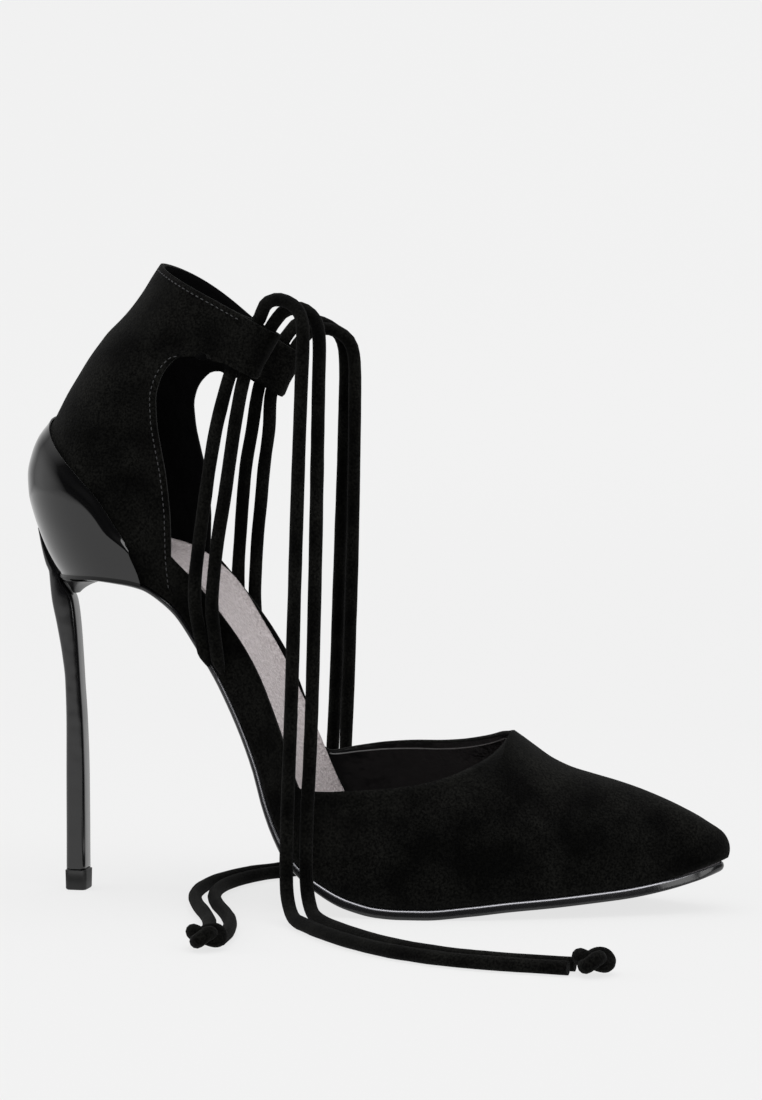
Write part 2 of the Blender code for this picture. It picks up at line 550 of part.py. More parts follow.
def rings_solid(name, rings, colour, roughness, metallic=0.0):
    """Closed body through rings with the same number of points."""
    verts, faces = [], []
    size = len(rings[0])
    for ring in rings:
        verts.extend(ring)
    for i in range(len(rings) - 1):
        for k in range(size):
            a, b = i * size + k, i * size + (k + 1) % size
            faces.append((a, b, b + size, a + size))
    faces.append(tuple(range(size))[::-1])
    faces.append(tuple(range((len(rings) - 1) * size, len(rings) * size)))
    return new_object(name, verts, faces, colour, roughness, metallic)


BLACK = (0.012, 0.012, 0.013)
OUTSOLE_STATIONS = 60
INSOLE_STATIONS = 40


def build_outsole():
    rings = []
    start = share_of(OUTSOLE_START)
    for i in range(OUTSOLE_STATIONS + 1):
        share = start + (1 - start) * i / OUTSOLE_STATIONS
        run = rim_point(share, OUTER, 0)[0]
        waist = 1 - ease((run - 0.068) / 0.026)
        tip = ease((run - TOE_END + 0.010) / 0.009)
        bevel = 0.0004 + (SOLE_BEVEL - 0.0004) * waist + TIP_BEVEL * tip
        thick = sole_thickness(run)
        inset = GAP * (1 - ease((run - 0.030) / 0.006))
        inset += TOE_OVERHANG * ease((run - TOE_END + 0.022) / 0.018)
        sides = {}
        for side in (OUTER, INNER):
            low_run, low_out = rim_point(share, side, inset + bevel)
            top_run, top_out = rim_point(share, side, inset)
            sides[side] = (over_sole(low_run, low_out, 0.0),
                           over_sole(top_run, top_out, 0.0004 + 0.0008 * waist + 0.0013 * tip),
                           over_sole(top_run, top_out, thick))
        low = (sides[OUTER][0] + sides[INNER][0]) / 2
        top = (sides[OUTER][2] + sides[INNER][2]) / 2
        rings.append([sides[OUTER][0], low, *sides[INNER], top, sides[OUTER][2],
                      sides[OUTER][1]])
    return rings_solid("outsole", rings, (0.02, 0.018, 0.017), 0.25)


def drawn_in(share, side, inset, keep):
    """Outline point drawn toward the middle of the insole: run and breadth."""
    run, breadth = rim_point(share, side, inset)
    middle = (half_breadth(run, OUTER) + half_breadth(run, INNER)) / 2
    heel, toe = HEEL_END + SEAT_ROUND, TOE_END - 4 * TOE_ROUND
    centre = heel if run < heel else toe if run > toe else run
    if run > toe:
        middle = (half_breadth(toe, OUTER) + half_breadth(toe, INNER)) / 2 * (1 - keep)
        middle += (half_breadth(run, OUTER) + half_breadth(run, INNER)) / 2 * keep
        return centre + (run - centre) * keep, middle + (breadth - middle) * keep
    return centre + (run - centre) * keep, middle + (breadth - middle) * keep


def build_insole():
    rings = []
    inset = GAP + WALL + GAP
    for i in range(INSOLE_STATIONS + 1):
        share = i / INSOLE_STATIONS
        run = rim_point(share, OUTER, 0)[0]
        bed = float(smooth([HEEL_END, 0.060, 0.095, TOE_END],
                           [BED_LIFT, BED_LIFT, BALL_LIFT, BALL_LIFT], run))
        flare = 0.0004 + 0.0040 * max(1 - (run - HEEL_END) / 0.012, 0.0)
        flare *= 1 - ease((run - 0.030) / 0.010)
        thick = sole_thickness(run) + BED_GAP
        halves = []
        for side in (OUTER, INNER):
            column = [over_sole(*drawn_in(share, side, inset, keep), thick)
                      for keep in (0.34, 0.68, 1.0)]
            column.append(over_sole(*drawn_in(share, side, inset - flare, 1.0), bed + BED_CUP))
            column += [over_sole(*drawn_in(share, side, inset, keep), bed + BED_CUP * curl)
                       for keep, curl in ((0.90, 0.35), (0.68, 0.04), (0.34, 0.0))]
            halves.append(column)
        low = drawn_in(share, OUTER, inset, 0.0)
        rings.append([over_sole(*low, thick), *halves[1], over_sole(*low, bed),
                      *halves[0][::-1]])
    verts, faces = [], []
    size = len(rings[0])
    for ring in rings:
        verts.extend(ring)
    for i in range(len(rings) - 1):
        for k in range(size):
            a, b = i * size + k, i * size + (k + 1) % size
            faces.append((a, b, b + size, a + size))
    return new_object("insole", verts, faces, (0.36, 0.33, 0.34), 0.55)


WALL_COLUMNS = 46
WALL_STEPS = 6
ARC_STEPS, SIDE_STEPS = 7, 7


def wall_feet():
    """Foot shares of the wall's columns, closer together at the waist's start and the toe."""
    first, last = share_of(FIRST_FOOT * TOE_REACH), 1.0
    feet = []
    for i in range(WALL_COLUMNS + 1):
        share = first + (last - first) * i / WALL_COLUMNS
        run = HEEL_END + (TOE_END - HEEL_END) * (1 - math.cos(math.pi * share)) / 2
        feet.append(run / TOE_REACH)
    throat = min(range(len(feet)), key=lambda i: abs(feet[i] - EDGE_ROWS[OUTER][-1][0]))
    feet[throat] = EDGE_ROWS[OUTER][-1][0]
    return feet


def quarter_rows():
    return ([WALL_ROWS * i / WALL_STEPS for i in range(WALL_STEPS)]
            + list(range(WALL_ROWS, TOP_ROW + 1)))


def quarter_shares():
    return ([ARC_SHARE * i / ARC_STEPS for i in range(ARC_STEPS)]
            + [ARC_SHARE + (1 - ARC_SHARE) * i / SIDE_STEPS for i in range(SIDE_STEPS + 1)])


def build_upper():
    verts, faces = [], []
    for side in (OUTER, INNER):
        columns = [[wall_point(side, foot, k / WALL_STEPS) for k in range(WALL_STEPS + 1)]
                   for foot in wall_feet()]
        grid(verts, faces, columns, side == INNER)
        columns = [[quarter_point(row, q, side) for row in quarter_rows()]
                   for q in quarter_shares()]
        grid(verts, faces, columns, side == INNER)
        tab = range(TAB_ROW, TOP_ROW + 1)
        columns = [[quarter_point(row, 1.0, side) for row in tab]]
        columns += [[fold_point(side, row, *step) for row in tab] for step in fold_path()]
        grid(verts, faces, columns, side == INNER)
    upper = new_object("upper", verts, faces, BLACK, 0.9)
    wall = upper.modifiers.new("wall", "SOLIDIFY")
    wall.thickness = WALL
    wall.offset = -1.0
    wall.use_quality_normals = True
    return upper


COVER_STEPS = 11


def cover_edge(rise):
    """Run of the cover's front edge at this height."""
    heights = [HEEL_RISE + row[1] * COVER_TOP for row in COVER_ROWS]
    return float(smooth(heights, [row[0] * COVER_REACH for row in COVER_ROWS], rise))


def cover_top(q, side):
    """Quarter row at which a column meets the cover's front edge."""
    low, high = 0.0, 12.0
    for _ in range(30):
        middle = (low + high) / 2
        spot = quarter_spot(middle, q, side)
        if spot.x > cover_edge(spot.z):
            high = middle
        else:
            low = middle
    return max(low, 0.12)


def cover_shares(side):
    """Columns of the cover, from the back to its lower front corner."""
    low, high = ARC_SHARE, 1.0
    for _ in range(30):
        middle = (low + high) / 2
        if quarter_spot(0.0, middle, side).x > COVER_REACH - 0.0004:
            high = middle
        else:
            low = middle
    return [low * i / COVER_STEPS for i in range(COVER_STEPS + 1)]


def build_cover():
    skins = []
    for out in (COVER_GAP, COVER_GAP + COVER_THICK):
        columns = []
        for side in (OUTER, INNER):
            half = []
            for q in cover_shares(side):
                top = cover_top(q, side)
                column = [quarter_point(top * k / 8, q, side, out) for k in range(9)]
                column.insert(0, column[0] - Vector((0, 0, COVER_DROP)))
                half.append(column)
            columns += half[:0:-1] if side == OUTER else half
        skins.append(columns)
    verts, faces = [], []
    grid(verts, faces, skins[1])
    grid(verts, faces, skins[0], True)
    width, height = len(skins[0]), len(skins[0][0])
    half = width * height
    ring = ([i * height for i in range(width)]
            + [(width - 1) * height + k for k in range(1, height)]
            + [i * height + height - 1 for i in range(width - 2, -1, -1)]
            + [k for k in range(height - 2, 0, -1)])
    for i, a in enumerate(ring):
        b = ring[(i + 1) % len(ring)]
        faces.append((a, b, b + half, a + half))
    cover = new_object("heel_cover", verts, faces, (0.01, 0.01, 0.01), 0.08)
    union = cover.modifiers.new("block", "BOOLEAN")
    union.operation = "UNION"
    union.solver = "EXACT"
    union.object = build_block()
    return cover


BLOCK_POINTS = 28


def build_block():
    rings = []
    for rise, back, front, half in BLOCK_ROWS:
        back, front, half = back * TAB_REACH, front * TAB_REACH, half * SEAT_WIDTH
        middle, reach = (front + back) / 2, (front - back) / 2
        angles = [math.radians(124) * (2 * i / BLOCK_POINTS - 1) for i in range(BLOCK_POINTS + 1)]
        ring = [Vector((middle - reach * math.cos(a), half * math.sin(a), rise * HEEL_RISE))
                for a in angles]
        ahead = [math.pi * 124 / 180 + math.radians(112) * i / 8 for i in range(1, 8)]
        ring += [Vector((middle - reach * math.cos(a), half * math.sin(a), rise * HEEL_RISE))
                 for a in ahead]
        rings.append(ring)
    seat = QUARTER[0, 0]
    depth = QUARTER[0, 6]
    for rise in (HEEL_RISE - GAP * 0.6, HEEL_RISE + SHANK_THICK * 0.9):
        lap = COVER_GAP + COVER_THICK * 0.7
        limit = math.acos(1 - (BLOCK_FRONT - seat + lap) / (depth + lap))
        wide = QUARTER[0, 4] + lap
        angles = [limit * (2 * i / BLOCK_POINTS - 1) for i in range(BLOCK_POINTS + 1)]
        ring = [Vector((seat + depth - (depth + lap) * math.cos(a), wide * math.sin(a), rise))
                for a in angles]
        end = ring[-1].y
        ring += [Vector((BLOCK_FRONT, end * (1 - 2 * i / 8), rise)) for i in range(1, 8)]
        rings.append(ring)
    block = rings_solid("heel_block", rings, (0.01, 0.01, 0.01), 0.08)
    OBJECT.objects.unlink(block)
    CUTTERS.objects.link(block)
    block.hide_render = True
    block.display_type = "WIRE"
    return block


def stem_profile():
    """Back and front line of the stem and of the fin that runs up the cup: run and rise."""
    lines = [(b * STEM_DEPTH, f * STEM_DEPTH, h * HEEL_RISE) for h, b, f in STEM_ROWS]
    foot = BLOCK_ROWS[1]
    lines.append((-0.0079, foot[1] * TAB_REACH - 2 * GAP, foot[0] * HEEL_RISE))
    cup = quarter_point(0.0, 0.0, OUTER, COVER_GAP + COVER_THICK + GAP)
    lines.append((-0.0082, cup.x, HEEL_RISE - 2 * GAP))
    for back, row in zip((-0.0084, -0.0095, -0.0107, -0.0120), (0.0, 0.9, 2.0, 3.2)):
        cup = quarter_point(row, 0.0, OUTER, COVER_GAP + COVER_THICK + GAP)
        lines.append((back, cup.x - GAP, cup.z))
    return lines


def build_stem():
    rings = []
    for back, front, rise in stem_profile():
        half = STEM_WIDTH / 2 * (1 - 0.35 * ease((rise - HEEL_RISE) / (FIN_TOP - HEEL_RISE)))
        middle = (back + front) / 2
        reach = (front - back) / 2
        ring = []
        for i in range(20):
            a = 2 * math.pi * (i + 0.5) / 20
            c, s = math.cos(a), math.sin(a)
            ring.append(Vector((middle + reach * math.copysign(abs(c) ** 0.55, c),
                                half * math.copysign(abs(s) ** 0.55, s), rise)))
        rings.append(ring)
    return rings_solid("heel_stem", rings, (0.01, 0.01, 0.01), 0.12)


def build_tip():
    rings = []
    top = STEM_ROWS[0][0] * HEEL_RISE - GAP
    for rise, shrink in ((0.0, 0.94), (0.0006, 1.0), (top, 1.02)):
        ring = []
        for i in range(24):
            a = 2 * math.pi * (i + 0.5) / 24
            c, s = math.cos(a), math.sin(a)
            ring.append(Vector((TIP_LENGTH / 2 * shrink * math.copysign(abs(c) ** 0.5, c),
                                STEM_WIDTH / 2 * shrink * math.copysign(abs(s) ** 0.5, s), rise)))
        rings.append(ring)
    return rings_solid("heel_tip", rings, (0.015, 0.015, 0.015), 0.5)


def even_points(route, spacing):
    """Smooth line through the route's points, read at even steps."""
    route = np.array(route)
    reach = np.concatenate([[0], np.cumsum(np.linalg.norm(np.diff(route, axis=0), axis=1))])
    count = max(int(round(reach[-1] / spacing)), 4)
    tangent = np.zeros_like(route)
    tangent[1:-1] = (route[2:] - route[:-2]) / (reach[2:] - reach[:-2])[:, None]
    tangent[0] = (route[1] - route[0]) / (reach[1] - reach[0])
    tangent[-1] = (route[-1] - route[-2]) / (reach[-1] - reach[-2])
    points = []
    for at in np.linspace(0, reach[-1], count + 1):
        i = min(int(np.searchsorted(reach, at, side="right")) - 1, len(reach) - 2)
        step = reach[i + 1] - reach[i]
        t = (at - reach[i]) / step
        points.append(route[i] * (1 + 2 * t) * (1 - t) ** 2 + tangent[i] * step * t * (1 - t) ** 2
                      + route[i + 1] * t * t * (3 - 2 * t)
                      - tangent[i + 1] * step * t * t * (1 - t))
    return points


def cord(name, route, spacing, start=None):
    """Round suede tie along a route."""
    points = even_points(route, spacing)
    if start:
        points.insert(0, start)
    curve = bpy.data.curves.new(name, "CURVE")
    curve.dimensions = "3D"
    curve.bevel_depth = TIE / 2
    curve.bevel_resolution = 2
    curve.use_fill_caps = True
    spline = curve.splines.new("POLY")
    spline.points.add(len(points) - 1)
    for spot, place in zip(spline.points, points):
        spot.co = (*place, 1.0)
    made = bpy.data.objects.new(name, curve)
    OBJECT.objects.link(made)
    paint(made, BLACK, 0.9)
    return made


def build_knot(name, place):
    """Tight knot that ends a pair of ties: a squashed ball."""
    rings = []
    for i in range(1, 8):
        a = math.pi * i / 8
        across, rise = TIE_KNOT / 2 * math.sin(a), -TIE_KNOT / 2 * math.cos(a)
        rings.append([Vector((place[0] + across * math.cos(b), place[1] + across * math.sin(b),
                              place[2] + rise)) for b in (math.pi * k / 8 for k in range(16))])
    return rings_solid(name, rings, BLACK, 0.9)


def tunnel_spot(side, row, forward):
    return fold_point(side, row, forward, FOLD_RADIUS)


def bar_route(side, which):
    """From the sole's edge up beside the waist and through the tab's tunnel."""
    shift = (TAB_SET_BACK, TAB_DROP) if side == INNER else (0.0, 0.0)
    route = []
    for run, rise, out in BAR_ROUTES[which]:
        share = ease((rise - 0.090) / 0.060)
        route.append((run - shift[0] * share, side * out, rise - shift[1] * share))
    forward = 0.0 if which == "front" else -(TIE + GAP)
    for row in (TAB_ROW, (TAB_ROW + TOP_ROW) / 2, TOP_ROW):
        route.append(tuple(tunnel_spot(side, row, forward)))
    return route


for old in list(bpy.data.objects):
    bpy.data.objects.remove(old, do_unlink=True)
OBJECT = bpy.data.collections.new("object")
bpy.context.scene.collection.children.link(OBJECT)
CUTTERS = bpy.data.collections.new("cutters")
bpy.context.scene.collection.children.link(CUTTERS)

build_outsole()
build_insole()
build_upper()
build_cover()
build_stem()
build_tip()
for side, name in ((OUTER, "outer"), (INNER, "inner")):
    for which in BAR_ROUTES:
        cord(f"lace_bar_{name}_{which}", bar_route(side, which), 0.005)
for name, route in TIE_ROUTES.items():
    bar = even_points(bar_route(INNER if "inner" in name else OUTER, name.split("_")[2]), 0.005)
    axis = (Vector(bar[-1]) - Vector(bar[-2])).normalized()
    start = Vector(bar[-1]) + axis * GAP / 3
    cord(name, [tuple(start + axis * TIE * 0.4), *route[1:]], 0.0085, tuple(start))
for name, place in KNOTS.items():
    build_knot(name, place)
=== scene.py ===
# %% [markdown]
# # A right lace up heeled sandal
# Pointed toe, ankle cuff with two lace tabs, stiletto heel. Metres, +X to the toe, +Y to the
# inner side of the foot, +Z up. The origin is the middle of the heel tip's underside.

# %% Load the frame
import bisect
import math

import bmesh
import bpy
import numpy as np
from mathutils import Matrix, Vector


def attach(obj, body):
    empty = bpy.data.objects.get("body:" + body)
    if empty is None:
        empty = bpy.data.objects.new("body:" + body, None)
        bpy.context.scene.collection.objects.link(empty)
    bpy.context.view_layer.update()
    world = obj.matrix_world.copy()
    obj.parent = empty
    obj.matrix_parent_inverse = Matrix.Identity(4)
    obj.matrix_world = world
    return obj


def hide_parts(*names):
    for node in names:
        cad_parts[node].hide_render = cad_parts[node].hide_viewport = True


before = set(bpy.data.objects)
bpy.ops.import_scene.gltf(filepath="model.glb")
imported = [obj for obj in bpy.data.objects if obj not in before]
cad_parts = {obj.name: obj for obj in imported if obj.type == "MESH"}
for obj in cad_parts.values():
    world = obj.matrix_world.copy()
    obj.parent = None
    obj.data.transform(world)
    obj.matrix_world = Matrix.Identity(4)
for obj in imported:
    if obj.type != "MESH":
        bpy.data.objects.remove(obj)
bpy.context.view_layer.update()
SCENE = bpy.context.scene

# %% [markdown]
# ## Named sizes
# A shoe is drawn from a few sizes of its last: length, heel height, the breadths at seat, waist
# and ball, and the heights of its edges. They could be typed where they are used. They stand
# here instead, so that one change moves every piece that follows it.

# %% Named sizes
# Driving dimensions, in metres
TOE_REACH = 0.2055        # heel tip's middle to the point of the toe
HEEL_RISE = 0.0986        # floor to the underside of the seat
TOE_SPRING = 0.0130       # lift of the sole's point off the floor
SEAT_WIDTH = 0.0490
WAIST_WIDTH = 0.0440
BALL_WIDTH = 0.0745
SEAT_ROUND = 0.0240       # depth of the round of the seat, back to front
TOE_ROUND = 0.0080        # depth of the round of the toe point
TOE_BULGE = 0.32          # how far the toe swells out over the sole, as a slope
WALL = 0.0016             # upper with its lining
GAP = 0.0003              # between pieces that touch
COVER_GAP = 0.0005        # between the cover and the upper, two curved skins
BED_GAP = 0.0008          # under the insole, where two curved faces lie together
TOE_OVERHANG = 0.0020     # how far the toe stands out over the sole's tip
TIP_BEVEL = 0.0016        # rounding under the sole's tip
SOLE_THICK = 0.0030       # outsole at the tread
SHANK_THICK = 0.0020
SOLE_BEVEL = 0.0030       # chamfer under the sole's waist
BED_LIFT = 0.0105         # insole's surface over the sole's underside, seat and waist
BALL_LIFT = 0.0065        # the same at the ball and toes
BED_CUP = 0.0022          # how far the insole's edge curls up
SIDE_WALL = 0.0135        # low side wall over the sole's underside
VAMP_TOP = 0.0377         # height of the topline beside the ball
THROAT_RISE = 0.0535
CUFF_RISE = 0.0979        # seat's underside to the cuff's rim at the back
TAB_REACH = 0.0717        # heel tip to the front of the lace tabs
CUFF_WIDTH = 0.0540       # across the two tabs
TAB_DROP = 0.0056         # the inner tab sits this much lower
TAB_SET_BACK = 0.0032     # and this much further back
COVER_THICK = 0.0009      # patent cover on the heel cup
COVER_TOP = 0.0495        # its point at the back over the seat's underside
COVER_REACH = 0.0280      # its lower front corner
COVER_DROP = 0.0013       # how far it laps down over the outsole's edge
STEM_WIDTH = 0.0080
STEM_DEPTH = 0.0064       # front to back, near the tip
FIN_TOP = 0.1210          # top of the fin that runs up the back of the cup
TIP_LENGTH = 0.0068
TIE = 0.0042              # thickness of the suede ties
TIE_KNOT = 0.0125

OUTER, INNER = -1.0, 1.0  # the two sides of the foot along Y
print("heel", HEEL_RISE, "m high, ball", BALL_WIDTH, "m wide")

# %% [markdown]
# ## Sole table
# Seen from the side, the sole is one long line: level under the heel, steep over the arch,
# level under the ball and lifted at the toe. A curve object could draw it. A table of sections
# is easier to read and gives both breadths of a right foot as well.

# %% Sole table
# Underside of the sole on its middle line, heel to toe, and how far the edge stands out.
SOLE_ROWS = [
    # run / TOE_REACH, rise, outer side, inner side
    (-0.0125, HEEL_RISE * 1.002, SEAT_WIDTH * 0.494, SEAT_WIDTH * 0.494),
    (0.058, HEEL_RISE * 1.000, SEAT_WIDTH * 0.500, SEAT_WIDTH * 0.500),
    (0.099, HEEL_RISE * 0.991, SEAT_WIDTH * 0.490, SEAT_WIDTH * 0.490),
    (0.131, HEEL_RISE * 0.975, SEAT_WIDTH * 0.475, SEAT_WIDTH * 0.475),
    (0.157, HEEL_RISE * 0.942, SEAT_WIDTH * 0.462, SEAT_WIDTH * 0.460),
    (0.181, HEEL_RISE * 0.899, WAIST_WIDTH * 0.515, WAIST_WIDTH * 0.510),
    (0.213, HEEL_RISE * 0.799, WAIST_WIDTH * 0.502, WAIST_WIDTH * 0.495),
    (0.242, HEEL_RISE * 0.701, WAIST_WIDTH * 0.500, WAIST_WIDTH * 0.490),
    (0.264, HEEL_RISE * 0.610, WAIST_WIDTH * 0.505, WAIST_WIDTH * 0.495),
    (0.283, HEEL_RISE * 0.523, WAIST_WIDTH * 0.520, WAIST_WIDTH * 0.510),
    (0.303, HEEL_RISE * 0.421, WAIST_WIDTH * 0.560, WAIST_WIDTH * 0.545),
    (0.320, HEEL_RISE * 0.323, BALL_WIDTH * 0.375, BALL_WIDTH * 0.360),
    (0.339, HEEL_RISE * 0.237, BALL_WIDTH * 0.415, BALL_WIDTH * 0.395),
    (0.365, HEEL_RISE * 0.155, BALL_WIDTH * 0.455, BALL_WIDTH * 0.430),
    (0.411, HEEL_RISE * 0.076, BALL_WIDTH * 0.485, BALL_WIDTH * 0.465),
    (0.460, HEEL_RISE * 0.026, BALL_WIDTH * 0.499, BALL_WIDTH * 0.486),
    (0.506, HEEL_RISE * 0.004, BALL_WIDTH * 0.502, BALL_WIDTH * 0.497),
    (0.538, 0.0, BALL_WIDTH * 0.499, BALL_WIDTH * 0.501),
    (0.574, 0.0, BALL_WIDTH * 0.490, BALL_WIDTH * 0.503),
    (0.642, TOE_SPRING * 0.09, BALL_WIDTH * 0.455, BALL_WIDTH * 0.485),
    (0.696, TOE_SPRING * 0.18, BALL_WIDTH * 0.410, BALL_WIDTH * 0.450),
    (0.754, TOE_SPRING * 0.25, BALL_WIDTH * 0.352, BALL_WIDTH * 0.400),
    (0.808, TOE_SPRING * 0.33, BALL_WIDTH * 0.290, BALL_WIDTH * 0.340),
    (0.861, TOE_SPRING * 0.42, BALL_WIDTH * 0.225, BALL_WIDTH * 0.275),
    (0.920, TOE_SPRING * 0.60, BALL_WIDTH * 0.150, BALL_WIDTH * 0.200),
    (0.959, TOE_SPRING * 0.77, BALL_WIDTH * 0.100, BALL_WIDTH * 0.150),
    (1.002, TOE_SPRING * 1.00, BALL_WIDTH * 0.056, BALL_WIDTH * 0.106),
]
print("sole sections", len(SOLE_ROWS))

# %% [markdown]
# ## Topline table
# The upper's edge runs low along the arch, climbs to the vamp and ends at the throat. Each row
# says where a section leaves the sole, where its edge stands and how far it leans in. The inner
# side is higher over the arch, as on a real last.
# A projected curve could cut the edge out of a whole last. A table gives it directly.

# %% Topline table
# Top edge of the low side walls, then the vamp's topline up to the throat, on each side.
# foot: where the section leaves the sole, as a share of TOE_REACH; lean: how far the wall
# leans inward at its edge, in degrees from upright.
EDGE_ROWS = {
    OUTER: [
        # foot, run / TOE_REACH, rise, stand out, lean
        (0.176, 0.180, HEEL_RISE + SIDE_WALL * 0.60, WAIST_WIDTH * 0.545, 0),
        (0.192, 0.205, HEEL_RISE + SIDE_WALL * 0.21, WAIST_WIDTH * 0.530, 0),
        (0.215, 0.247, HEEL_RISE * 0.926, WAIST_WIDTH * 0.517, 0),
        (0.244, 0.287, HEEL_RISE * 0.812, WAIST_WIDTH * 0.510, 0),
        (0.268, 0.310, HEEL_RISE * 0.727, WAIST_WIDTH * 0.515, 0),
        (0.288, 0.328, HEEL_RISE * 0.640, WAIST_WIDTH * 0.540, 2),
        (0.304, 0.343, HEEL_RISE * 0.565, WAIST_WIDTH * 0.575, 3),
        (0.320, 0.360, HEEL_RISE * 0.480, WAIST_WIDTH * 0.625, 4),
        (0.340, 0.385, VAMP_TOP * 0.985, BALL_WIDTH * 0.405, 6),
        (0.375, 0.420, VAMP_TOP * 0.985, BALL_WIDTH * 0.425, 10),
        (0.420, 0.462, VAMP_TOP * 1.000, BALL_WIDTH * 0.430, 14),
        (0.470, 0.503, VAMP_TOP * 1.016, BALL_WIDTH * 0.425, 18),
        (0.520, 0.545, VAMP_TOP * 1.040, BALL_WIDTH * 0.402, 25),
        (0.560, 0.579, VAMP_TOP * 1.075, BALL_WIDTH * 0.372, 33),
        (0.592, 0.606, VAMP_TOP * 1.120, BALL_WIDTH * 0.328, 42),
        (0.622, 0.631, VAMP_TOP * 1.180, BALL_WIDTH * 0.268, 52),
        (0.650, 0.653, VAMP_TOP * 1.250, BALL_WIDTH * 0.190, 64),
        (0.672, 0.668, THROAT_RISE * 0.945, BALL_WIDTH * 0.095, 76),
        (0.684, 0.674, THROAT_RISE, 0.0, 88),
    ],
    INNER: [
        (0.176, 0.180, HEEL_RISE + SIDE_WALL * 0.60, WAIST_WIDTH * 0.545, 0),
        (0.192, 0.205, HEEL_RISE + SIDE_WALL * 0.21, WAIST_WIDTH * 0.530, 0),
        (0.215, 0.247, HEEL_RISE * 0.926, WAIST_WIDTH * 0.515, 0),
        (0.244, 0.287, HEEL_RISE * 0.812, WAIST_WIDTH * 0.505, 0),
        (0.268, 0.310, HEEL_RISE * 0.727, WAIST_WIDTH * 0.510, 0),
        (0.288, 0.328, HEEL_RISE * 0.625, WAIST_WIDTH * 0.535, 2),
        (0.304, 0.341, HEEL_RISE * 0.540, WAIST_WIDTH * 0.570, 3),
        (0.320, 0.353, HEEL_RISE * 0.455, WAIST_WIDTH * 0.610, 4),
        (0.340, 0.367, VAMP_TOP * 1.130, BALL_WIDTH * 0.385, 7),
        (0.375, 0.408, VAMP_TOP * 1.168, BALL_WIDTH * 0.410, 12),
        (0.420, 0.452, VAMP_TOP * 1.204, BALL_WIDTH * 0.418, 17),
        (0.470, 0.497, VAMP_TOP * 1.225, BALL_WIDTH * 0.408, 23),
        (0.520, 0.538, VAMP_TOP * 1.235, BALL_WIDTH * 0.382, 31),
        (0.560, 0.575, VAMP_TOP * 1.258, BALL_WIDTH * 0.340, 39),
        (0.592, 0.603, VAMP_TOP * 1.290, BALL_WIDTH * 0.290, 48),
        (0.622, 0.629, VAMP_TOP * 1.330, BALL_WIDTH * 0.225, 58),
        (0.650, 0.651, VAMP_TOP * 1.375, BALL_WIDTH * 0.150, 68),
        (0.672, 0.667, THROAT_RISE * 0.985, BALL_WIDTH * 0.075, 78),
        (0.684, 0.674, THROAT_RISE, 0.0, 88),
    ],
}
print("topline sections", len(EDGE_ROWS[OUTER]), len(EDGE_ROWS[INNER]))

# %% [markdown]
# ## Ridge table
# In front of the throat the two sides meet in a ridge that falls to the point of the toe. It is
# a table as well, so that the walls of both sides can end on the same line.

# %% Ridge table
# Ridge of the closed toe, from the throat down to the point.
RIDGE_ROWS = [
    # foot, run / TOE_REACH, rise / THROAT_RISE
    (0.684, 0.674, 1.000),
    (0.708, 0.701, 0.925),
    (0.736, 0.731, 0.845),
    (0.766, 0.762, 0.790),
    (0.800, 0.795, 0.755),
    (0.834, 0.828, 0.722),
    (0.868, 0.861, 0.683),
    (0.902, 0.893, 0.637),
    (0.935, 0.921, 0.590),
    (0.965, 0.946, 0.540),
    (0.985, 0.963, 0.500),
    (1.002, 0.975, 0.470),
]
print("ridge points", len(RIDGE_ROWS))

# %% [markdown]
# ## Quarter and cuff table
# The quarter wraps the heel and rises into the ankle cuff with its two lace tabs. It could be
# cut from a tube with a Boolean. Slanting rows keep the faces even round the cut-out, and the
# cut-out's edge is simply the front end of the rows.

# %% Quarter and cuff table
# Quarter and cuff, in slanting rows from the feather line to the rim. The back column is
# the heel curve, the front column the edge of the cut-out and then of the lace tab.
QUARTER_ROWS = [
    # back run / TAB_REACH, back rise / CUFF_RISE, front run, front rise,
    # half breadth / CUFF_WIDTH at the side and at the front, depth of the heel's round
    (-0.036, 0.020, 0.510, -0.070, 0.448, 0.425, 1.00),
    (-0.062, 0.055, 0.512, -0.036, 0.455, 0.430, 1.01),
    (-0.092, 0.098, 0.514, 0.010, 0.464, 0.438, 1.02),
    (-0.122, 0.152, 0.516, 0.060, 0.473, 0.446, 1.03),
    (-0.150, 0.212, 0.518, 0.083, 0.481, 0.455, 1.04),
    (-0.172, 0.275, 0.517, 0.192, 0.485, 0.460, 1.05),
    (-0.176, 0.332, 0.510, 0.262, 0.485, 0.463, 1.05),
    (-0.156, 0.398, 0.497, 0.345, 0.482, 0.465, 1.04),
    (-0.118, 0.458, 0.476, 0.428, 0.477, 0.467, 1.02),
    (-0.070, 0.520, 0.460, 0.506, 0.471, 0.468, 1.00),
    (-0.022, 0.586, 0.457, 0.571, 0.466, 0.470, 0.97),
    (0.030, 0.647, 0.474, 0.627, 0.462, 0.472, 0.95),
    (0.078, 0.702, 0.508, 0.670, 0.460, 0.476, 0.93),
    (0.119, 0.742, 0.562, 0.701, 0.459, 0.480, 0.92),
    (0.162, 0.782, 0.638, 0.705, 0.460, 0.485, 0.91),
    (0.216, 0.821, 0.711, 0.691, 0.461, 0.490, 0.90),
    (0.258, 0.854, 0.779, 0.679, 0.462, 0.494, 0.90),
    (0.300, 0.893, 0.893, 0.634, 0.463, 0.498, 0.89),
    (0.333, 0.927, 0.926, 0.678, 0.464, 0.500, 0.88),
    (0.362, 0.960, 0.963, 0.723, 0.465, 0.500, 0.87),
    (0.400, 1.000, 1.000, 0.768, 0.466, 0.500, 0.86),
]
TAB_ROW = 17              # row that runs along the lower edge of the tab
WALL_ROWS = 4             # rows shared with the low side wall
print("rows from the sole to the rim", len(QUARTER_ROWS))

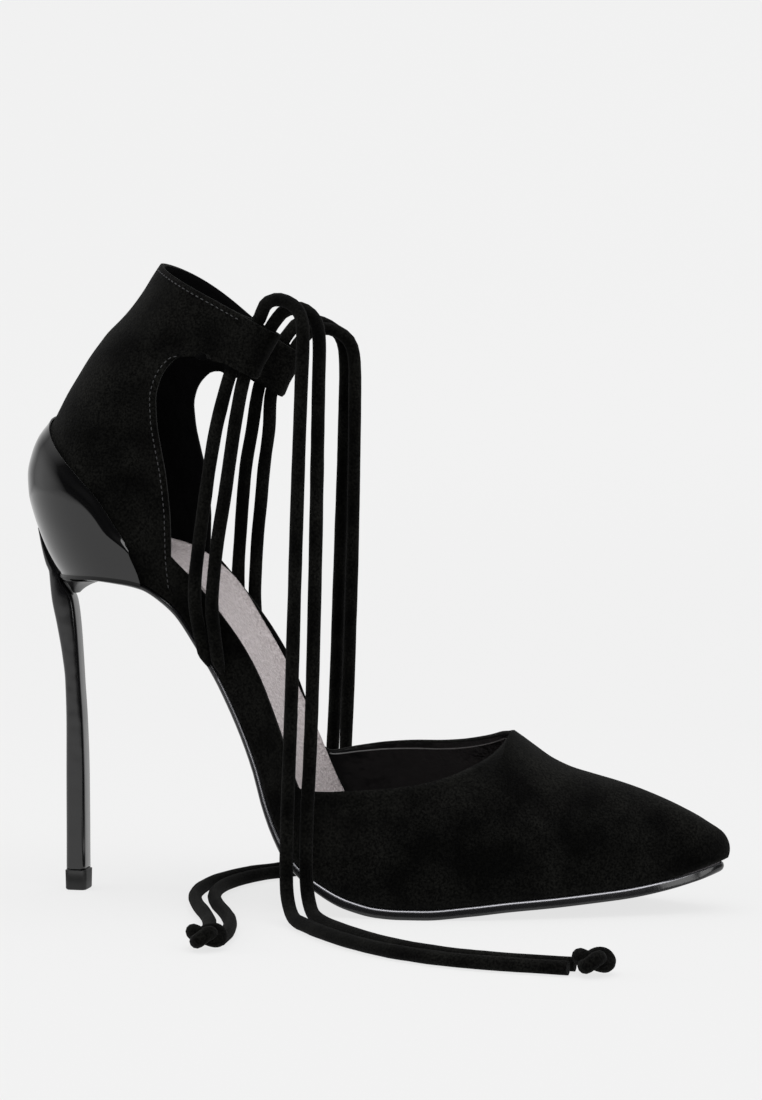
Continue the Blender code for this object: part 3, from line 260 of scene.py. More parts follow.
# %% [markdown]
# ## Cover, stem and block tables
# A stiletto heel is three things: a patent skin over the cup, a block under it and a thin stem
# with a fin up the back. Each has its own outline, read from the side or from above.
# Each could be a drawing traced from the side. A few rows hold the same line and can be
# changed by hand.

# %% Cover, stem and block tables
# Front edge of the patent cover, from its lower corner up to its point at the back.
COVER_ROWS = [
    # run / COVER_REACH, rise / COVER_TOP
    (1.000, 0.000),
    (0.965, 0.052),
    (0.914, 0.152),
    (0.829, 0.248),
    (0.700, 0.368),
    (0.514, 0.525),
    (0.321, 0.648),
    (0.114, 0.768),
    (-0.061, 0.881),
    (-0.200, 1.000),
]
# Side view of the stem: back and front line at each height.
STEM_ROWS = [
    # rise / HEEL_RISE, back / STEM_DEPTH, front / STEM_DEPTH
    (0.066, -0.500, 0.480),
    (0.180, -0.490, 0.480),
    (0.360, -0.485, 0.470),
    (0.530, -0.470, 0.400),
    (0.670, -0.520, 0.270),
    (0.750, -0.660, 0.200),
    (0.850, -0.930, 0.090),
    (0.930, -1.180, -0.080),
]
# Plan of the heel block at each height, from its point on the stem up to the seat.
BLOCK_ROWS = [
    # rise / HEEL_RISE, back, front / TAB_REACH, half breadth / SEAT_WIDTH
    (0.9500, -0.012, 0.009, 0.050),
    (0.9600, -0.018, 0.022, 0.090),
    (0.9740, -0.024, 0.052, 0.150),
    (0.9860, -0.030, 0.098, 0.225),
    (0.9935, -0.034, 0.160, 0.300),
    (0.9965, -0.036, 0.185, 0.330),
]
BLOCK_FRONT = 0.0032      # front of the block where it stands behind the outsole
OUTSOLE_START = 0.0036
print("heel cover, stem and block rows", len(COVER_ROWS), len(STEM_ROWS), len(BLOCK_ROWS))

# %% [markdown]
# ## Tie routes
# Worn, the ties are wound round a leg. Taken off, they hang from the tabs and lie on the floor.
# A cloth simulation could drop them there. Listed points keep each tie clear of the
# next one, and the same points make the solids.

# %% Tie routes
# Routes of the four free ties, from the mouth of each tab's tunnel to the floor and along it.
TIE_ROUTES = {
    "tie_outer_front": [
        (0.0693, -0.0231, 0.1776), (0.0725, -0.0242, 0.1809), (0.0768, -0.0262, 0.1821),
        (0.0811, -0.0284, 0.1809), (0.0842, -0.0302, 0.1778), (0.0854, -0.0314, 0.1725),
        (0.0854, -0.0322, 0.1600), (0.0852, -0.0330, 0.1400), (0.0849, -0.0338, 0.1150),
        (0.0845, -0.0346, 0.0900), (0.0841, -0.0358, 0.0650), (0.0837, -0.0374, 0.0460),
        (0.0834, -0.0394, 0.0320), (0.0834, -0.0408, 0.0180), (0.0844, -0.0436, 0.0090),
        (0.0874, -0.0494, 0.0034), (0.0925, -0.0572, 0.0022), (0.1010, -0.0692, 0.0022),
        (0.1120, -0.0820, 0.0022), (0.1260, -0.0938, 0.0022), (0.1420, -0.1020, 0.0022),
        (0.1600, -0.1062, 0.0022), (0.1745, -0.1076, 0.0022),
    ],
    "tie_outer_back": [
        (0.0653, -0.0231, 0.1797), (0.0680, -0.0262, 0.1835), (0.0724, -0.0288, 0.1846),
        (0.0771, -0.0312, 0.1830), (0.0802, -0.0338, 0.1799), (0.0814, -0.0356, 0.1746),
        (0.0812, -0.0368, 0.1600), (0.0806, -0.0378, 0.1380), (0.0800, -0.0386, 0.1150),
        (0.0794, -0.0394, 0.0900), (0.0788, -0.0402, 0.0650), (0.0783, -0.0412, 0.0460),
        (0.0780, -0.0424, 0.0300), (0.0781, -0.0440, 0.0160), (0.0792, -0.0472, 0.0076),
        (0.0826, -0.0540, 0.0028), (0.0882, -0.0628, 0.0022), (0.0972, -0.0752, 0.0022),
        (0.1086, -0.0880, 0.0022), (0.1230, -0.0997, 0.0022), (0.1403, -0.1080, 0.0022),
        (0.1590, -0.1119, 0.0022), (0.1735, -0.1136, 0.0022),
    ],
    "tie_inner_front": [
        (0.0661, 0.0231, 0.1720), (0.0693, 0.0242, 0.1753), (0.0736, 0.0262, 0.1765),
        (0.0779, 0.0284, 0.1753), (0.0810, 0.0302, 0.1722), (0.0822, 0.0314, 0.1670),
        (0.0822, 0.0322, 0.1550), (0.0818, 0.0330, 0.1350), (0.0812, 0.0338, 0.1120),
        (0.0804, 0.0346, 0.0900), (0.0794, 0.0358, 0.0680), (0.0782, 0.0378, 0.0500),
        (0.0772, 0.0398, 0.0360), (0.0760, 0.0410, 0.0220), (0.0740, 0.0420, 0.0110),
        (0.0696, 0.0420, 0.0042), (0.0625, 0.0378, 0.0022), (0.0542, 0.0275, 0.0022),
        (0.0486, 0.0140, 0.0022), (0.0468, -0.0010, 0.0022), (0.0488, -0.0170, 0.0022),
        (0.0538, -0.0325, 0.0022), (0.0600, -0.0470, 0.0022), (0.0655, -0.0620, 0.0022),
        (0.0690, -0.0780, 0.0022), (0.0700, -0.0900, 0.0022),
    ],
    "tie_inner_back": [
        (0.0621, 0.0231, 0.1741), (0.0648, 0.0262, 0.1779), (0.0692, 0.0288, 0.1790),
        (0.0739, 0.0312, 0.1774), (0.0770, 0.0338, 0.1743), (0.0782, 0.0356, 0.1690),
        (0.0780, 0.0368, 0.1550), (0.0772, 0.0378, 0.1340), (0.0762, 0.0386, 0.1120),
        (0.0752, 0.0396, 0.0900), (0.0742, 0.0408, 0.0680), (0.0730, 0.0424, 0.0500),
        (0.0719, 0.0440, 0.0360), (0.0706, 0.0454, 0.0220), (0.0684, 0.0464, 0.0110),
        (0.0636, 0.0458, 0.0042), (0.0564, 0.0402, 0.0022), (0.0486, 0.0290, 0.0022),
        (0.0430, 0.0145, 0.0022), (0.0411, -0.0010, 0.0022), (0.0431, -0.0185, 0.0022),
        (0.0483, -0.0347, 0.0022), (0.0545, -0.0495, 0.0022), (0.0598, -0.0640, 0.0022),
        (0.0632, -0.0790, 0.0022), (0.0642, -0.0905, 0.0022),
    ],
}
KNOTS = {
    "knot_outer": (0.1799, -0.1110, 0.0063),
    "knot_inner": (0.0672, -0.0960, 0.0063),
}
# The held stretch of each tie, from the sole's edge up to the tab.
BAR_ROUTES = {
    # run, rise, stand out from the middle line
    "front": [(0.0522, 0.0755, 0.0251), (0.0514, 0.0830, 0.0258), (0.0508, 0.0915, 0.0265),
              (0.0513, 0.1000, 0.0266), (0.0528, 0.1128, 0.0266), (0.0548, 0.1247, 0.0266),
              (0.0567, 0.1374, 0.0266), (0.0587, 0.1500, 0.0266)],
    "back": [(0.0479, 0.0779, 0.0251), (0.0465, 0.0850, 0.0258), (0.0455, 0.0925, 0.0265),
             (0.0456, 0.1005, 0.0266), (0.0472, 0.1135, 0.0266), (0.0489, 0.1255, 0.0266),
             (0.0509, 0.1385, 0.0266), (0.0530, 0.1490, 0.0266)],
}
print("free ties", len(TIE_ROUTES), "knots", len(KNOTS))

# %% [markdown]
# ## Curve through a table
# Every form below is read from the tables by these functions. A plain spline would swing past
# its points and dent the sole. This one keeps each stretch between its two rows, as a pattern
# maker's bent lath does.

# %% Curve through a table
_tangents = {}


def smooth(knots, values, at):
    """Curve through a table's rows that never swings past them."""
    key = (tuple(knots), tuple(values))
    knots, values = key
    if key not in _tangents:
        step = [b - a for a, b in zip(knots, knots[1:])]
        slope = [(b - a) / s for a, b, s in zip(values, values[1:], step)]
        tangent = [slope[0]] + [0.0] * (len(slope) - 1) + [slope[-1]]
        for i in range(1, len(slope)):
            if slope[i - 1] * slope[i] > 0:
                before, after = 2 * step[i] + step[i - 1], step[i] + 2 * step[i - 1]
                tangent[i] = (before + after) / (before / slope[i - 1] + after / slope[i])
        _tangents[key] = tangent
    tangent = _tangents[key]
    i = min(max(bisect.bisect_left(knots, at) - 1, 0), len(knots) - 2)
    step = knots[i + 1] - knots[i]
    t = (min(max(at, knots[0]), knots[-1]) - knots[i]) / step
    return (values[i] * (1 + 2 * t) * (1 - t) ** 2 + tangent[i] * step * t * (1 - t) ** 2
            + values[i + 1] * t * t * (3 - 2 * t) - tangent[i + 1] * step * t * t * (1 - t))


def ease(t):
    """0 to 1 with a soft start and end."""
    t = min(max(t, 0.0), 1.0)
    return t * t * (3 - 2 * t)


def round_end(depth, radius):
    """Breadth of a round end, as a share, at this depth from the end."""
    left = 1 - min(max(depth / radius, 0.0), 1.0)
    return math.sqrt(max(1 - left * left, 0.0))


print("halfway up a straight stretch", smooth([0, 1], [0, 2], 0.5))

# %% [markdown]
# ## Underside of the sole
# The sole's height and its direction at any run, and how far its edge stands out. Heel and toe
# are rounded off by a quarter circle, so the outline closes without a corner.

# %% Underside of the sole
SOLE_RUNS = [row[0] * TOE_REACH for row in SOLE_ROWS]
HEEL_END, TOE_END = SOLE_RUNS[0], SOLE_RUNS[-1]
print("sole", round(TOE_END - HEEL_END, 4), "m long")


def sole_rise(run):
    """Height of the sole's underside."""
    return float(smooth(SOLE_RUNS, [row[1] for row in SOLE_ROWS], run))


def sole_normal(run):
    """Direction from the underside into the shoe: run and rise."""
    step = 0.0005
    slope = (sole_rise(run + step) - sole_rise(run - step)) / (2 * step)
    length = math.hypot(1.0, slope)
    return -slope / length, 1.0 / length


def half_breadth(run, side):
    """How far the sole's edge stands out at this run."""
    outer = float(smooth(SOLE_RUNS, [row[2] for row in SOLE_ROWS], run))
    inner = float(smooth(SOLE_RUNS, [row[3] for row in SOLE_ROWS], run))
    half, axis = (outer + inner) / 2, (inner - outer) / 2
    heel = round_end((run - HEEL_END), SEAT_ROUND)
    toe = round_end((TOE_END - run), TOE_ROUND)
    return axis + side * half * heel * toe

# %% [markdown]
# ## Outline of the sole
# Outsole, insole and upper all follow one outline, each a little further in. A share along the
# outline has more points where the ends turn, and the inset moves square to the edge.
# Each piece could have an outline of its own, but then they would drift apart.

# %% Outline of the sole
def rim_point(share, side, inset):
    """Point on the sole's outline, moved inward: run and breadth. Share 0 is the heel."""
    def at(s):
        run = HEEL_END + (TOE_END - HEEL_END) * (1 - math.cos(math.pi * s)) / 2
        return run, half_breadth(run, side)
    run, breadth = at(share)
    step = 0.002
    (r0, b0), (r1, b1) = at(max(share - step, 0.0)), at(min(share + step, 1.0))
    stretch = 1.0 / sole_normal(run)[1]
    along, across = (r1 - r0) * stretch, b1 - b0
    length = math.hypot(along, across) or 1.0
    if share in (0.0, 1.0):
        along, across = 0.0, (1.0 if share == 0.0 else -1.0) * side * length
    return run + side * across / length * inset / stretch, breadth - side * along / length * inset


def share_of(run):
    """Share along the outline that reaches this run."""
    return math.acos(1 - 2 * (run - HEEL_END) / (TOE_END - HEEL_END)) / math.pi


def over_sole(run, breadth, lift):
    """Point at this lift over the sole's underside."""
    along, up = sole_normal(min(max(run, HEEL_END + 0.002), TOE_END))
    return Vector((run + along * lift, breadth, sole_rise(run) + up * lift))


def sole_thickness(run):
    return float(smooth([HEEL_END, 0.055, 0.095, TOE_END],
                        [SHANK_THICK, SHANK_THICK, SOLE_THICK, SOLE_THICK], run))


print("outline at half its share", [round(v, 4) for v in rim_point(0.5, OUTER, 0)])

# %% [markdown]
# ## Walls and vamp
# The side walls, the vamp and the toe are one sheet of suede pulled over the last. Each section
# is a curve of four points, from the sole up and then inward, so the sheet swells over the
# sole's edge and lies flatter on top.
# Sculpting would give the same swell, but not a sheet that follows the sizes above.

# %% Walls and vamp
THROAT_FOOT = EDGE_ROWS[OUTER][-1][0]


def feather(side, foot):
    """Where the upper meets the sole."""
    run = min(foot * TOE_REACH, TOE_END)
    run, breadth = rim_point(share_of(run), side, GAP)
    return over_sole(run, breadth, sole_thickness(run) + GAP)


def edge(side, foot):
    """Top of the wall over a foot point: place and lean, up to the ridge of the closed toe."""
    rows = EDGE_ROWS[side]
    feet = [row[0] for row in rows]
    if foot <= feet[-1]:
        run, rise, out, lean = (float(smooth(feet, [row[i] for row in rows], foot))
                                for i in (1, 2, 3, 4))
        return Vector((run * TOE_REACH, side * out, rise)), lean
    feet = [row[0] for row in RIDGE_ROWS]
    run, rise = (float(smooth(feet, [row[i] for row in RIDGE_ROWS], foot)) for i in (1, 2))
    axis = (half_breadth(min(run * TOE_REACH, TOE_END), INNER)
            + half_breadth(min(run * TOE_REACH, TOE_END), OUTER)) / 2
    blend = ease((foot - THROAT_FOOT) / 0.1)
    return Vector((run * TOE_REACH, axis * blend, rise * THROAT_RISE)), 90.0


def wall_point(side, foot, t):
    """Point of the low wall, vamp or toe: t runs from the sole to the top edge."""
    low = feather(side, foot)
    high, lean = edge(side, foot)
    lean = math.radians(lean)
    rise = high - low
    upward = Vector((rise.x, 0, rise.z)).normalized()
    if foot > 0.5:
        upward = upward.lerp(Vector((0, 0, 1)), ease((foot - 0.5) / 0.2)).normalized()
    turn = ease((foot - 0.72) / 0.24)
    inward = Vector((rise.x * turn, high.y - low.y, 0))
    width = inward.length
    inward = inward.normalized() if width > 1e-6 else Vector((1, 0, 0))
    height = rise.dot(upward)
    flare = 0.10 * ease((foot - 0.30) / 0.12) + TOE_BULGE * ease((foot - 0.93) / 0.05)
    first = low + (upward - inward * flare).normalized() * height * 0.52
    reach = 0.34 * height * math.cos(lean) + 0.62 * width * math.sin(lean)
    second = high - (upward * math.cos(lean) + inward * math.sin(lean)) * reach
    s = 1 - t
    return low * s ** 3 + first * (3 * s * s * t) + second * (3 * s * t * t) + high * t ** 3


print("throat at", [round(v, 4) for v in edge(OUTER, THROAT_FOOT)[0]])

# %% [markdown]
# ## Quarter and cuff
# A row starts at the heel as a quarter of an oval and goes on along the side. The lowest rows
# share their front edge with the side wall, so both sheets meet without a gap.

# %% Quarter and cuff
FIRST_FOOT = EDGE_ROWS[OUTER][0][0]
FOLD_RADIUS = TIE / 2 + GAP + WALL
ARC_SHARE = 0.56          # share of a quarter row that goes round the heel


def quarter_columns():
    """The quarter's table in metres, with the fold's radius kept free at the tab rows."""
    rows = []
    for i, (bx, bz, fx, fz, side_half, front_half, depth) in enumerate(QUARTER_ROWS):
        back = (bx * TAB_REACH, HEEL_RISE + bz * CUFF_RISE)
        front = (fx * TAB_REACH, HEEL_RISE + fz * CUFF_RISE)
        if i == 0:
            back = (back[0], over_sole(back[0], 0, sole_thickness(back[0]) + GAP).z)
        if i >= TAB_ROW:
            length = math.hypot(front[0] - back[0], front[1] - back[1])
            front = tuple(f - (f - b) * FOLD_RADIUS / length for f, b in zip(front, back))
        rows.append((*back, *front, side_half * CUFF_WIDTH, front_half * CUFF_WIDTH,
                     depth * SEAT_ROUND))
    return np.array(rows)


QUARTER = quarter_columns()
TOP_ROW = len(QUARTER_ROWS) - 1
print("quarter rows", TOP_ROW + 1)


def feather_sag(share):
    """How far the feather line rises over the straight line between its ends."""
    start, end = QUARTER[0, 0], FIRST_FOOT * TOE_REACH

    def line(run):
        return over_sole(run, 0, sole_thickness(run) + GAP).z
    run = start + (end - start) * share
    return line(run) - line(start) - (line(end) - line(start)) * share


def quarter_spot(row, q, side):
    """Point of the quarter's and cuff's outer face. q: 0 at the heel, 1 at the front edge."""
    bx, bz, fx, fz, side_half, front_half, depth = (
        float(smooth(range(TOP_ROW + 1), QUARTER[:, i], row)) for i in range(7))
    if row <= WALL_ROWS:
        front = wall_point(side, FIRST_FOOT, row / WALL_ROWS)
        fx, fz, front_half = front.x, front.z, abs(front.y)
    elif row < WALL_ROWS + 1:
        front = wall_point(side, FIRST_FOOT, 1.0)
        part = row - WALL_ROWS
        fx, fz, front_half = (a + (b - a) * part for a, b in zip(
            (front.x, front.z, abs(front.y)), QUARTER[WALL_ROWS + 1, [2, 3, 5]]))
    length = fx - bx
    if q < ARC_SHARE:
        angle = q / ARC_SHARE * math.pi / 2
        gone, out = depth * (1 - math.cos(angle)), side_half * math.sin(angle)
    else:
        part = (q - ARC_SHARE) / (1 - ARC_SHARE)
        gone = depth + (length - depth) * part
        out = side_half + (front_half - side_half) * ease(part)
    share = gone / length
    fade = max(1 - row / 9.0, 0.0) ** 1.5
    x, z = bx + gone, bz + (fz - bz) * share + feather_sag(share) * fade
    if side == INNER:
        twist = ease(share) * ease((row - WALL_ROWS) / (TAB_ROW - WALL_ROWS))
        x, z = x - TAB_SET_BACK * twist, z - TAB_DROP * twist
    return Vector((x, side * out, z))


def quarter_point(row, q, side, out=0.0):
    """The same, moved outward by `out` along the face's normal."""
    place = quarter_spot(row, q, side)
    if out == 0.0:
        return place
    step = 0.02
    q0, q1 = max(q - step, 0.0), min(q + step, 1.0)
    r0, r1 = max(row - step, 0.0), min(row + step, float(TOP_ROW))
    along = quarter_spot(row, q1, side) - quarter_spot(row, q0, side)
    up = quarter_spot(r1, q, side) - quarter_spot(r0, q, side)
    if q == 0.0:
        along = Vector((0, side, 0))
    return place + along.cross(up).normalized() * out * -side

# %% [markdown]
# ## Turned-in tabs
# Each tab's edge is turned in and stitched down, which leaves a tunnel for the two ties. The
# fold could be modelled apart. Here it goes on from the cuff's last column, as the suede does.

# %% Turned-in tabs
def fold_path():
    """The tab's turned-in edge, from the outer layer round the ties and back: (forward, in)."""
    path = [(FOLD_RADIUS * math.sin(a), FOLD_RADIUS * (1 - math.cos(a)))
            for a in (math.pi * i / 6 for i in range(1, 7))]
    spread = TIE + GAP
    closed = 2 * WALL + 2 * GAP
    path += [(-spread * 0.5, 2 * FOLD_RADIUS), (-spread * 1.25, 2 * FOLD_RADIUS),
             (-spread * 1.75, FOLD_RADIUS * 1.85), (-spread * 2.35, closed * 1.08),
             (-spread * 2.9, closed)]
    return path


def fold_point(side, row, forward, inward):
    """Point of the fold, in the slanting plane of one row."""
    base = quarter_point(row, 1.0, side)
    along = base - quarter_point(row, 0.9, side)
    along = Vector((along.x, 0, along.z)).normalized()
    return base + along * forward + Vector((0, -side * inward, 0))


print("points of the fold", len(fold_path()))

# %% [markdown]
# ## Insole outline
# The padded sock needs rings that shrink toward its middle. At seat and toe they shrink toward
# one point, and between them toward the middle line.

# %% Insole outline
def drawn_in(share, side, inset, keep):
    """Outline point drawn toward the middle of the insole: run and breadth."""
    run, breadth = rim_point(share, side, inset)
    middle = (half_breadth(run, OUTER) + half_breadth(run, INNER)) / 2
    heel, toe = HEEL_END + SEAT_ROUND, TOE_END - 4 * TOE_ROUND
    centre = heel if run < heel else toe if run > toe else run
    if run > toe:
        middle = (half_breadth(toe, OUTER) + half_breadth(toe, INNER)) / 2 * (1 - keep)
        middle += (half_breadth(run, OUTER) + half_breadth(run, INNER)) / 2 * keep
    return centre + (run - centre) * keep, middle + (breadth - middle) * keep


print("sock's edge at half its share", [round(v, 4) for v in drawn_in(0.5, OUTER, 0, 1.0)])

# %% [markdown]
# ## Cover edge
# The patent skin ends in a slanting line that crosses the quarter's rows. A Boolean would cut
# it raggedly. A search by halves finds the exact row at which each column has to stop.

# %% Cover edge
HALVINGS = 30             # steps of each search by halves


def cover_edge(rise):
    """Run of the cover's front edge at this height."""
    heights = [HEEL_RISE + row[1] * COVER_TOP for row in COVER_ROWS]
    return float(smooth(heights, [row[0] * COVER_REACH for row in COVER_ROWS], rise))


def cover_top(q, side):
    """Quarter row at which a column meets the cover's front edge."""
    low, high = 0.0, 12.0
    for _ in range(HALVINGS):
        middle = (low + high) / 2
        spot = quarter_spot(middle, q, side)
        if spot.x > cover_edge(spot.z):
            high = middle
        else:
            low = middle
    return max(low, 0.12)


def cover_corner(side):
    """Column share of the cover's lower front corner."""
    low, high = ARC_SHARE, 1.0
    for _ in range(HALVINGS):
        middle = (low + high) / 2
        if quarter_spot(0.0, middle, side).x > COVER_REACH - 0.0004:
            high = middle
        else:
            low = middle
    return low


print("cover's corner at column share", round(cover_corner(OUTER), 3))

# %% [markdown]
# ## Stem profile
# The stem's side view, from the tip to the top of the fin. Its upper part follows the cup at a
# small distance, so the fin always lies on the cover.

# %% Stem profile
FIN_ROWS = [(-0.0084, 0.0), (-0.0095, 0.9), (-0.0107, 2.0), (-0.0120, 3.2)]


def stem_profile():
    """Back and front line of the stem and of the fin that runs up the cup: run and rise."""
    lines = [(b * STEM_DEPTH, f * STEM_DEPTH, h * HEEL_RISE) for h, b, f in STEM_ROWS]
    foot = BLOCK_ROWS[1]
    lines.append((-0.0079, foot[1] * TAB_REACH - 2 * GAP, foot[0] * HEEL_RISE))
    cup = quarter_point(0.0, 0.0, OUTER, COVER_GAP + COVER_THICK + GAP)
    lines.append((-0.0082, cup.x, HEEL_RISE - 2 * GAP))
    for back, row in FIN_ROWS:
        cup = quarter_point(row, 0.0, OUTER, COVER_GAP + COVER_THICK + GAP)
        lines.append((back, cup.x - GAP, cup.z))
    return lines


print("stem sections", len(stem_profile()))

# %% [markdown]
# ## Tie lines
# The listed points are far apart. They are joined by a smooth line that is read at even steps,
# and the held stretch is led through its tab's tunnel.

# %% Tie lines
def even_points(route, spacing):
    """Smooth line through the route's points, read at even steps."""
    route = np.array(route)
    reach = np.concatenate([[0], np.cumsum(np.linalg.norm(np.diff(route, axis=0), axis=1))])
    count = max(int(round(reach[-1] / spacing)), 4)
    tangent = np.zeros_like(route)
    tangent[1:-1] = (route[2:] - route[:-2]) / (reach[2:] - reach[:-2])[:, None]
    tangent[0] = (route[1] - route[0]) / (reach[1] - reach[0])
    tangent[-1] = (route[-1] - route[-2]) / (reach[-1] - reach[-2])
    points = []
    for at in np.linspace(0, reach[-1], count + 1):
        i = min(int(np.searchsorted(reach, at, side="right")) - 1, len(reach) - 2)
        step = reach[i + 1] - reach[i]
        t = (at - reach[i]) / step
        points.append(route[i] * (1 + 2 * t) * (1 - t) ** 2 + tangent[i] * step * t * (1 - t) ** 2
                      + route[i + 1] * t * t * (3 - 2 * t)
                      - tangent[i + 1] * step * t * t * (1 - t))
    return points


def tunnel_spot(side, row, forward):
    return fold_point(side, row, forward, FOLD_RADIUS)


def bar_route(side, which):
    """From the sole's edge up beside the waist and through the tab's tunnel."""
    shift = (TAB_SET_BACK, TAB_DROP) if side == INNER else (0.0, 0.0)
    route = []
    for run, rise, out in BAR_ROUTES[which]:
        share = ease((rise - 0.090) / 0.060)
        route.append((run - shift[0] * share, side * out, rise - shift[1] * share))
    forward = 0.0 if which == "front" else -(TIE + GAP)
    for row in (TAB_ROW, (TAB_ROW + TOP_ROW) / 2, TOP_ROW):
        route.append(tuple(tunnel_spot(side, row, forward)))
    return route


print("points of a held stretch", len(bar_route(OUTER, "front")))

# %% [markdown]
# ## Camera
# A product photo is taken from afar with a long lens, so that the shoe keeps its proportions.
# This one looks from the outer side, a little in front of the shoe, from 1 m away.

# %% Camera
AIM = Vector((0.09755, 0.0, 0.10817))
TURN, DOWN, AWAY = math.radians(12.0), math.radians(3.315), 1.0
camera_data = bpy.data.cameras.new("camera")
camera_data.lens = 106.36
camera = bpy.data.objects.new("camera", camera_data)
SCENE.collection.objects.link(camera)
camera.location = AIM + Vector((math.sin(TURN) * math.cos(DOWN),
                                -math.cos(TURN) * math.cos(DOWN), math.sin(DOWN))) * AWAY
camera.rotation_euler = (AIM - camera.location).to_track_quat("-Z", "Y").to_euler()
SCENE.camera = camera
print("camera at", [round(v, 3) for v in camera.location])

# %% [markdown]
# ## Grain, used by every material
# Suede, leather and lacquer all have a fine grain. It could be built anew in each material. One
# node group with its own inputs is built once and placed in each with its own values.

# %% Grain, used by every material
def grain_group():
    """Bump from noise at one size: used by every material."""
    group = bpy.data.node_groups.new("grain", "ShaderNodeTree")
    face = group.interface
    for name, value in (("Scale", 1000.0), ("Height", 0.0001), ("Detail", 4.0)):
        face.new_socket(name, in_out="INPUT", socket_type="NodeSocketFloat").default_value = value
    face.new_socket("Normal In", in_out="INPUT", socket_type="NodeSocketVector").hide_value = True
    face.new_socket("Normal", in_out="OUTPUT", socket_type="NodeSocketVector")
    face.new_socket("Value", in_out="OUTPUT", socket_type="NodeSocketFloat")
    nodes, links = group.nodes, group.links
    into, out = nodes.new("NodeGroupInput"), nodes.new("NodeGroupOutput")
    place = nodes.new("ShaderNodeTexCoord")
    noise = nodes.new("ShaderNodeTexNoise")
    bump = nodes.new("ShaderNodeBump")
    links.new(place.outputs["Object"], noise.inputs["Vector"])
    links.new(into.outputs["Scale"], noise.inputs["Scale"])
    links.new(into.outputs["Detail"], noise.inputs["Detail"])
    links.new(noise.outputs["Fac"], bump.inputs["Height"])
    links.new(into.outputs["Height"], bump.inputs["Distance"])
    links.new(into.outputs["Normal In"], bump.inputs["Normal"])
    links.new(bump.outputs["Normal"], out.inputs["Normal"])
    links.new(noise.outputs["Fac"], out.inputs["Value"])
    return group


GRAIN = grain_group()
print("group", GRAIN.name)

# %% [markdown]
# ## Material helpers
# Short helpers make a material, place the grain in it, tint a socket by the grain and map a
# value from one range into another.

# %% Material helpers
def material(name, colour, roughness):
    made = bpy.data.materials.new(name)
    made.use_nodes = True
    shader = made.node_tree.nodes["Principled BSDF"]
    shader.inputs["Base Color"].default_value = (*colour, 1.0)
    shader.inputs["Roughness"].default_value = roughness
    return made, shader


def add_grain(made, scale, height, detail=4.0, under=None):
    tree = made.node_tree
    node = tree.nodes.new("ShaderNodeGroup")
    node.node_tree = GRAIN
    node.inputs["Scale"].default_value = scale
    node.inputs["Height"].default_value = height
    node.inputs["Detail"].default_value = detail
    if under:
        tree.links.new(under.outputs["Normal"], node.inputs["Normal In"])
    return node


def tint(made, shader, grain, socket, low, high, start=0.35, end=0.65):
    """Drive a socket by the grain, from one colour or value to another."""
    tree = made.node_tree
    ramp = tree.nodes.new("ShaderNodeValToRGB")
    ramp.color_ramp.elements[0].position = start
    ramp.color_ramp.elements[1].position = end
    ramp.color_ramp.elements[0].color = (*low, 1.0)
    ramp.color_ramp.elements[1].color = (*high, 1.0)
    tree.links.new(grain.outputs["Value"], ramp.inputs["Fac"])
    tree.links.new(ramp.outputs["Color"], shader.inputs[socket])


def map_range(tree, value, low, high, to_low, to_high):
    """Socket that follows a value from one range into another."""
    node = tree.nodes.new("ShaderNodeMapRange")
    for name, number in (("From Min", low), ("From Max", high),
                         ("To Min", to_low), ("To Max", to_high)):
        node.inputs[name].default_value = number
    tree.links.new(value, node.inputs["Value"])
    return node.outputs["Result"]


def object_axis(tree, axis):
    """Socket with the place along one axis of the object."""
    place = tree.nodes.new("ShaderNodeTexCoord")
    split = tree.nodes.new("ShaderNodeSeparateXYZ")
    tree.links.new(place.outputs["Object"], split.inputs["Vector"])
    return split.outputs[axis]

# %% [markdown]
# ## Suede
# Suede is the inner side of a skin, brushed up: nearly black, matte, with soft patches where
# the nap lies the other way. Two sizes of grain do this, a wide one for the patches and a fine
# one for the fibres, with a little sheen on top.

# %% Suede
def suede():
    made, shader = material("suede", (0.006, 0.006, 0.0065), 0.95)
    patches = add_grain(made, 75.0, 0.0004, 5.0)
    nap = add_grain(made, 1500.0, 0.00025, 8.0, patches)
    tint(made, shader, patches, "Base Color", (0.0009, 0.0009, 0.0008), (0.0040, 0.0040, 0.0035))
    tree = made.node_tree
    both = tree.nodes.new("ShaderNodeVectorMath")
    both.operation = "SCALE"
    fibre = map_range(tree, nap.outputs["Value"], 0.38, 0.66, 0.35, 2.1)
    tree.links.new(shader.inputs["Base Color"].links[0].from_socket, both.inputs[0])
    tree.links.new(fibre, both.inputs["Scale"])
    tree.links.new(both.outputs["Vector"], shader.inputs["Base Color"])
    shader.inputs["Sheen Weight"].default_value = 0.028
    shader.inputs["Sheen Roughness"].default_value = 0.5
    shader.inputs["Specular IOR Level"].default_value = 0.03
    made.node_tree.links.new(nap.outputs["Normal"], shader.inputs["Normal"])
    return made


SUEDE = suede()
print("made", SUEDE.name)

# %% [markdown]
# ## Lining
# The toe is lined with smooth leather that wrinkles and shines, the cuff with a matte one. One
# material changes over from one to the other along the shoe.
# Two materials would need a seam in the mesh where the real lining has none to be seen.

# %% Lining
CUFF_TO_TOE = (0.072, 0.080)    # where the cuff's matte lining gives way to the toe's


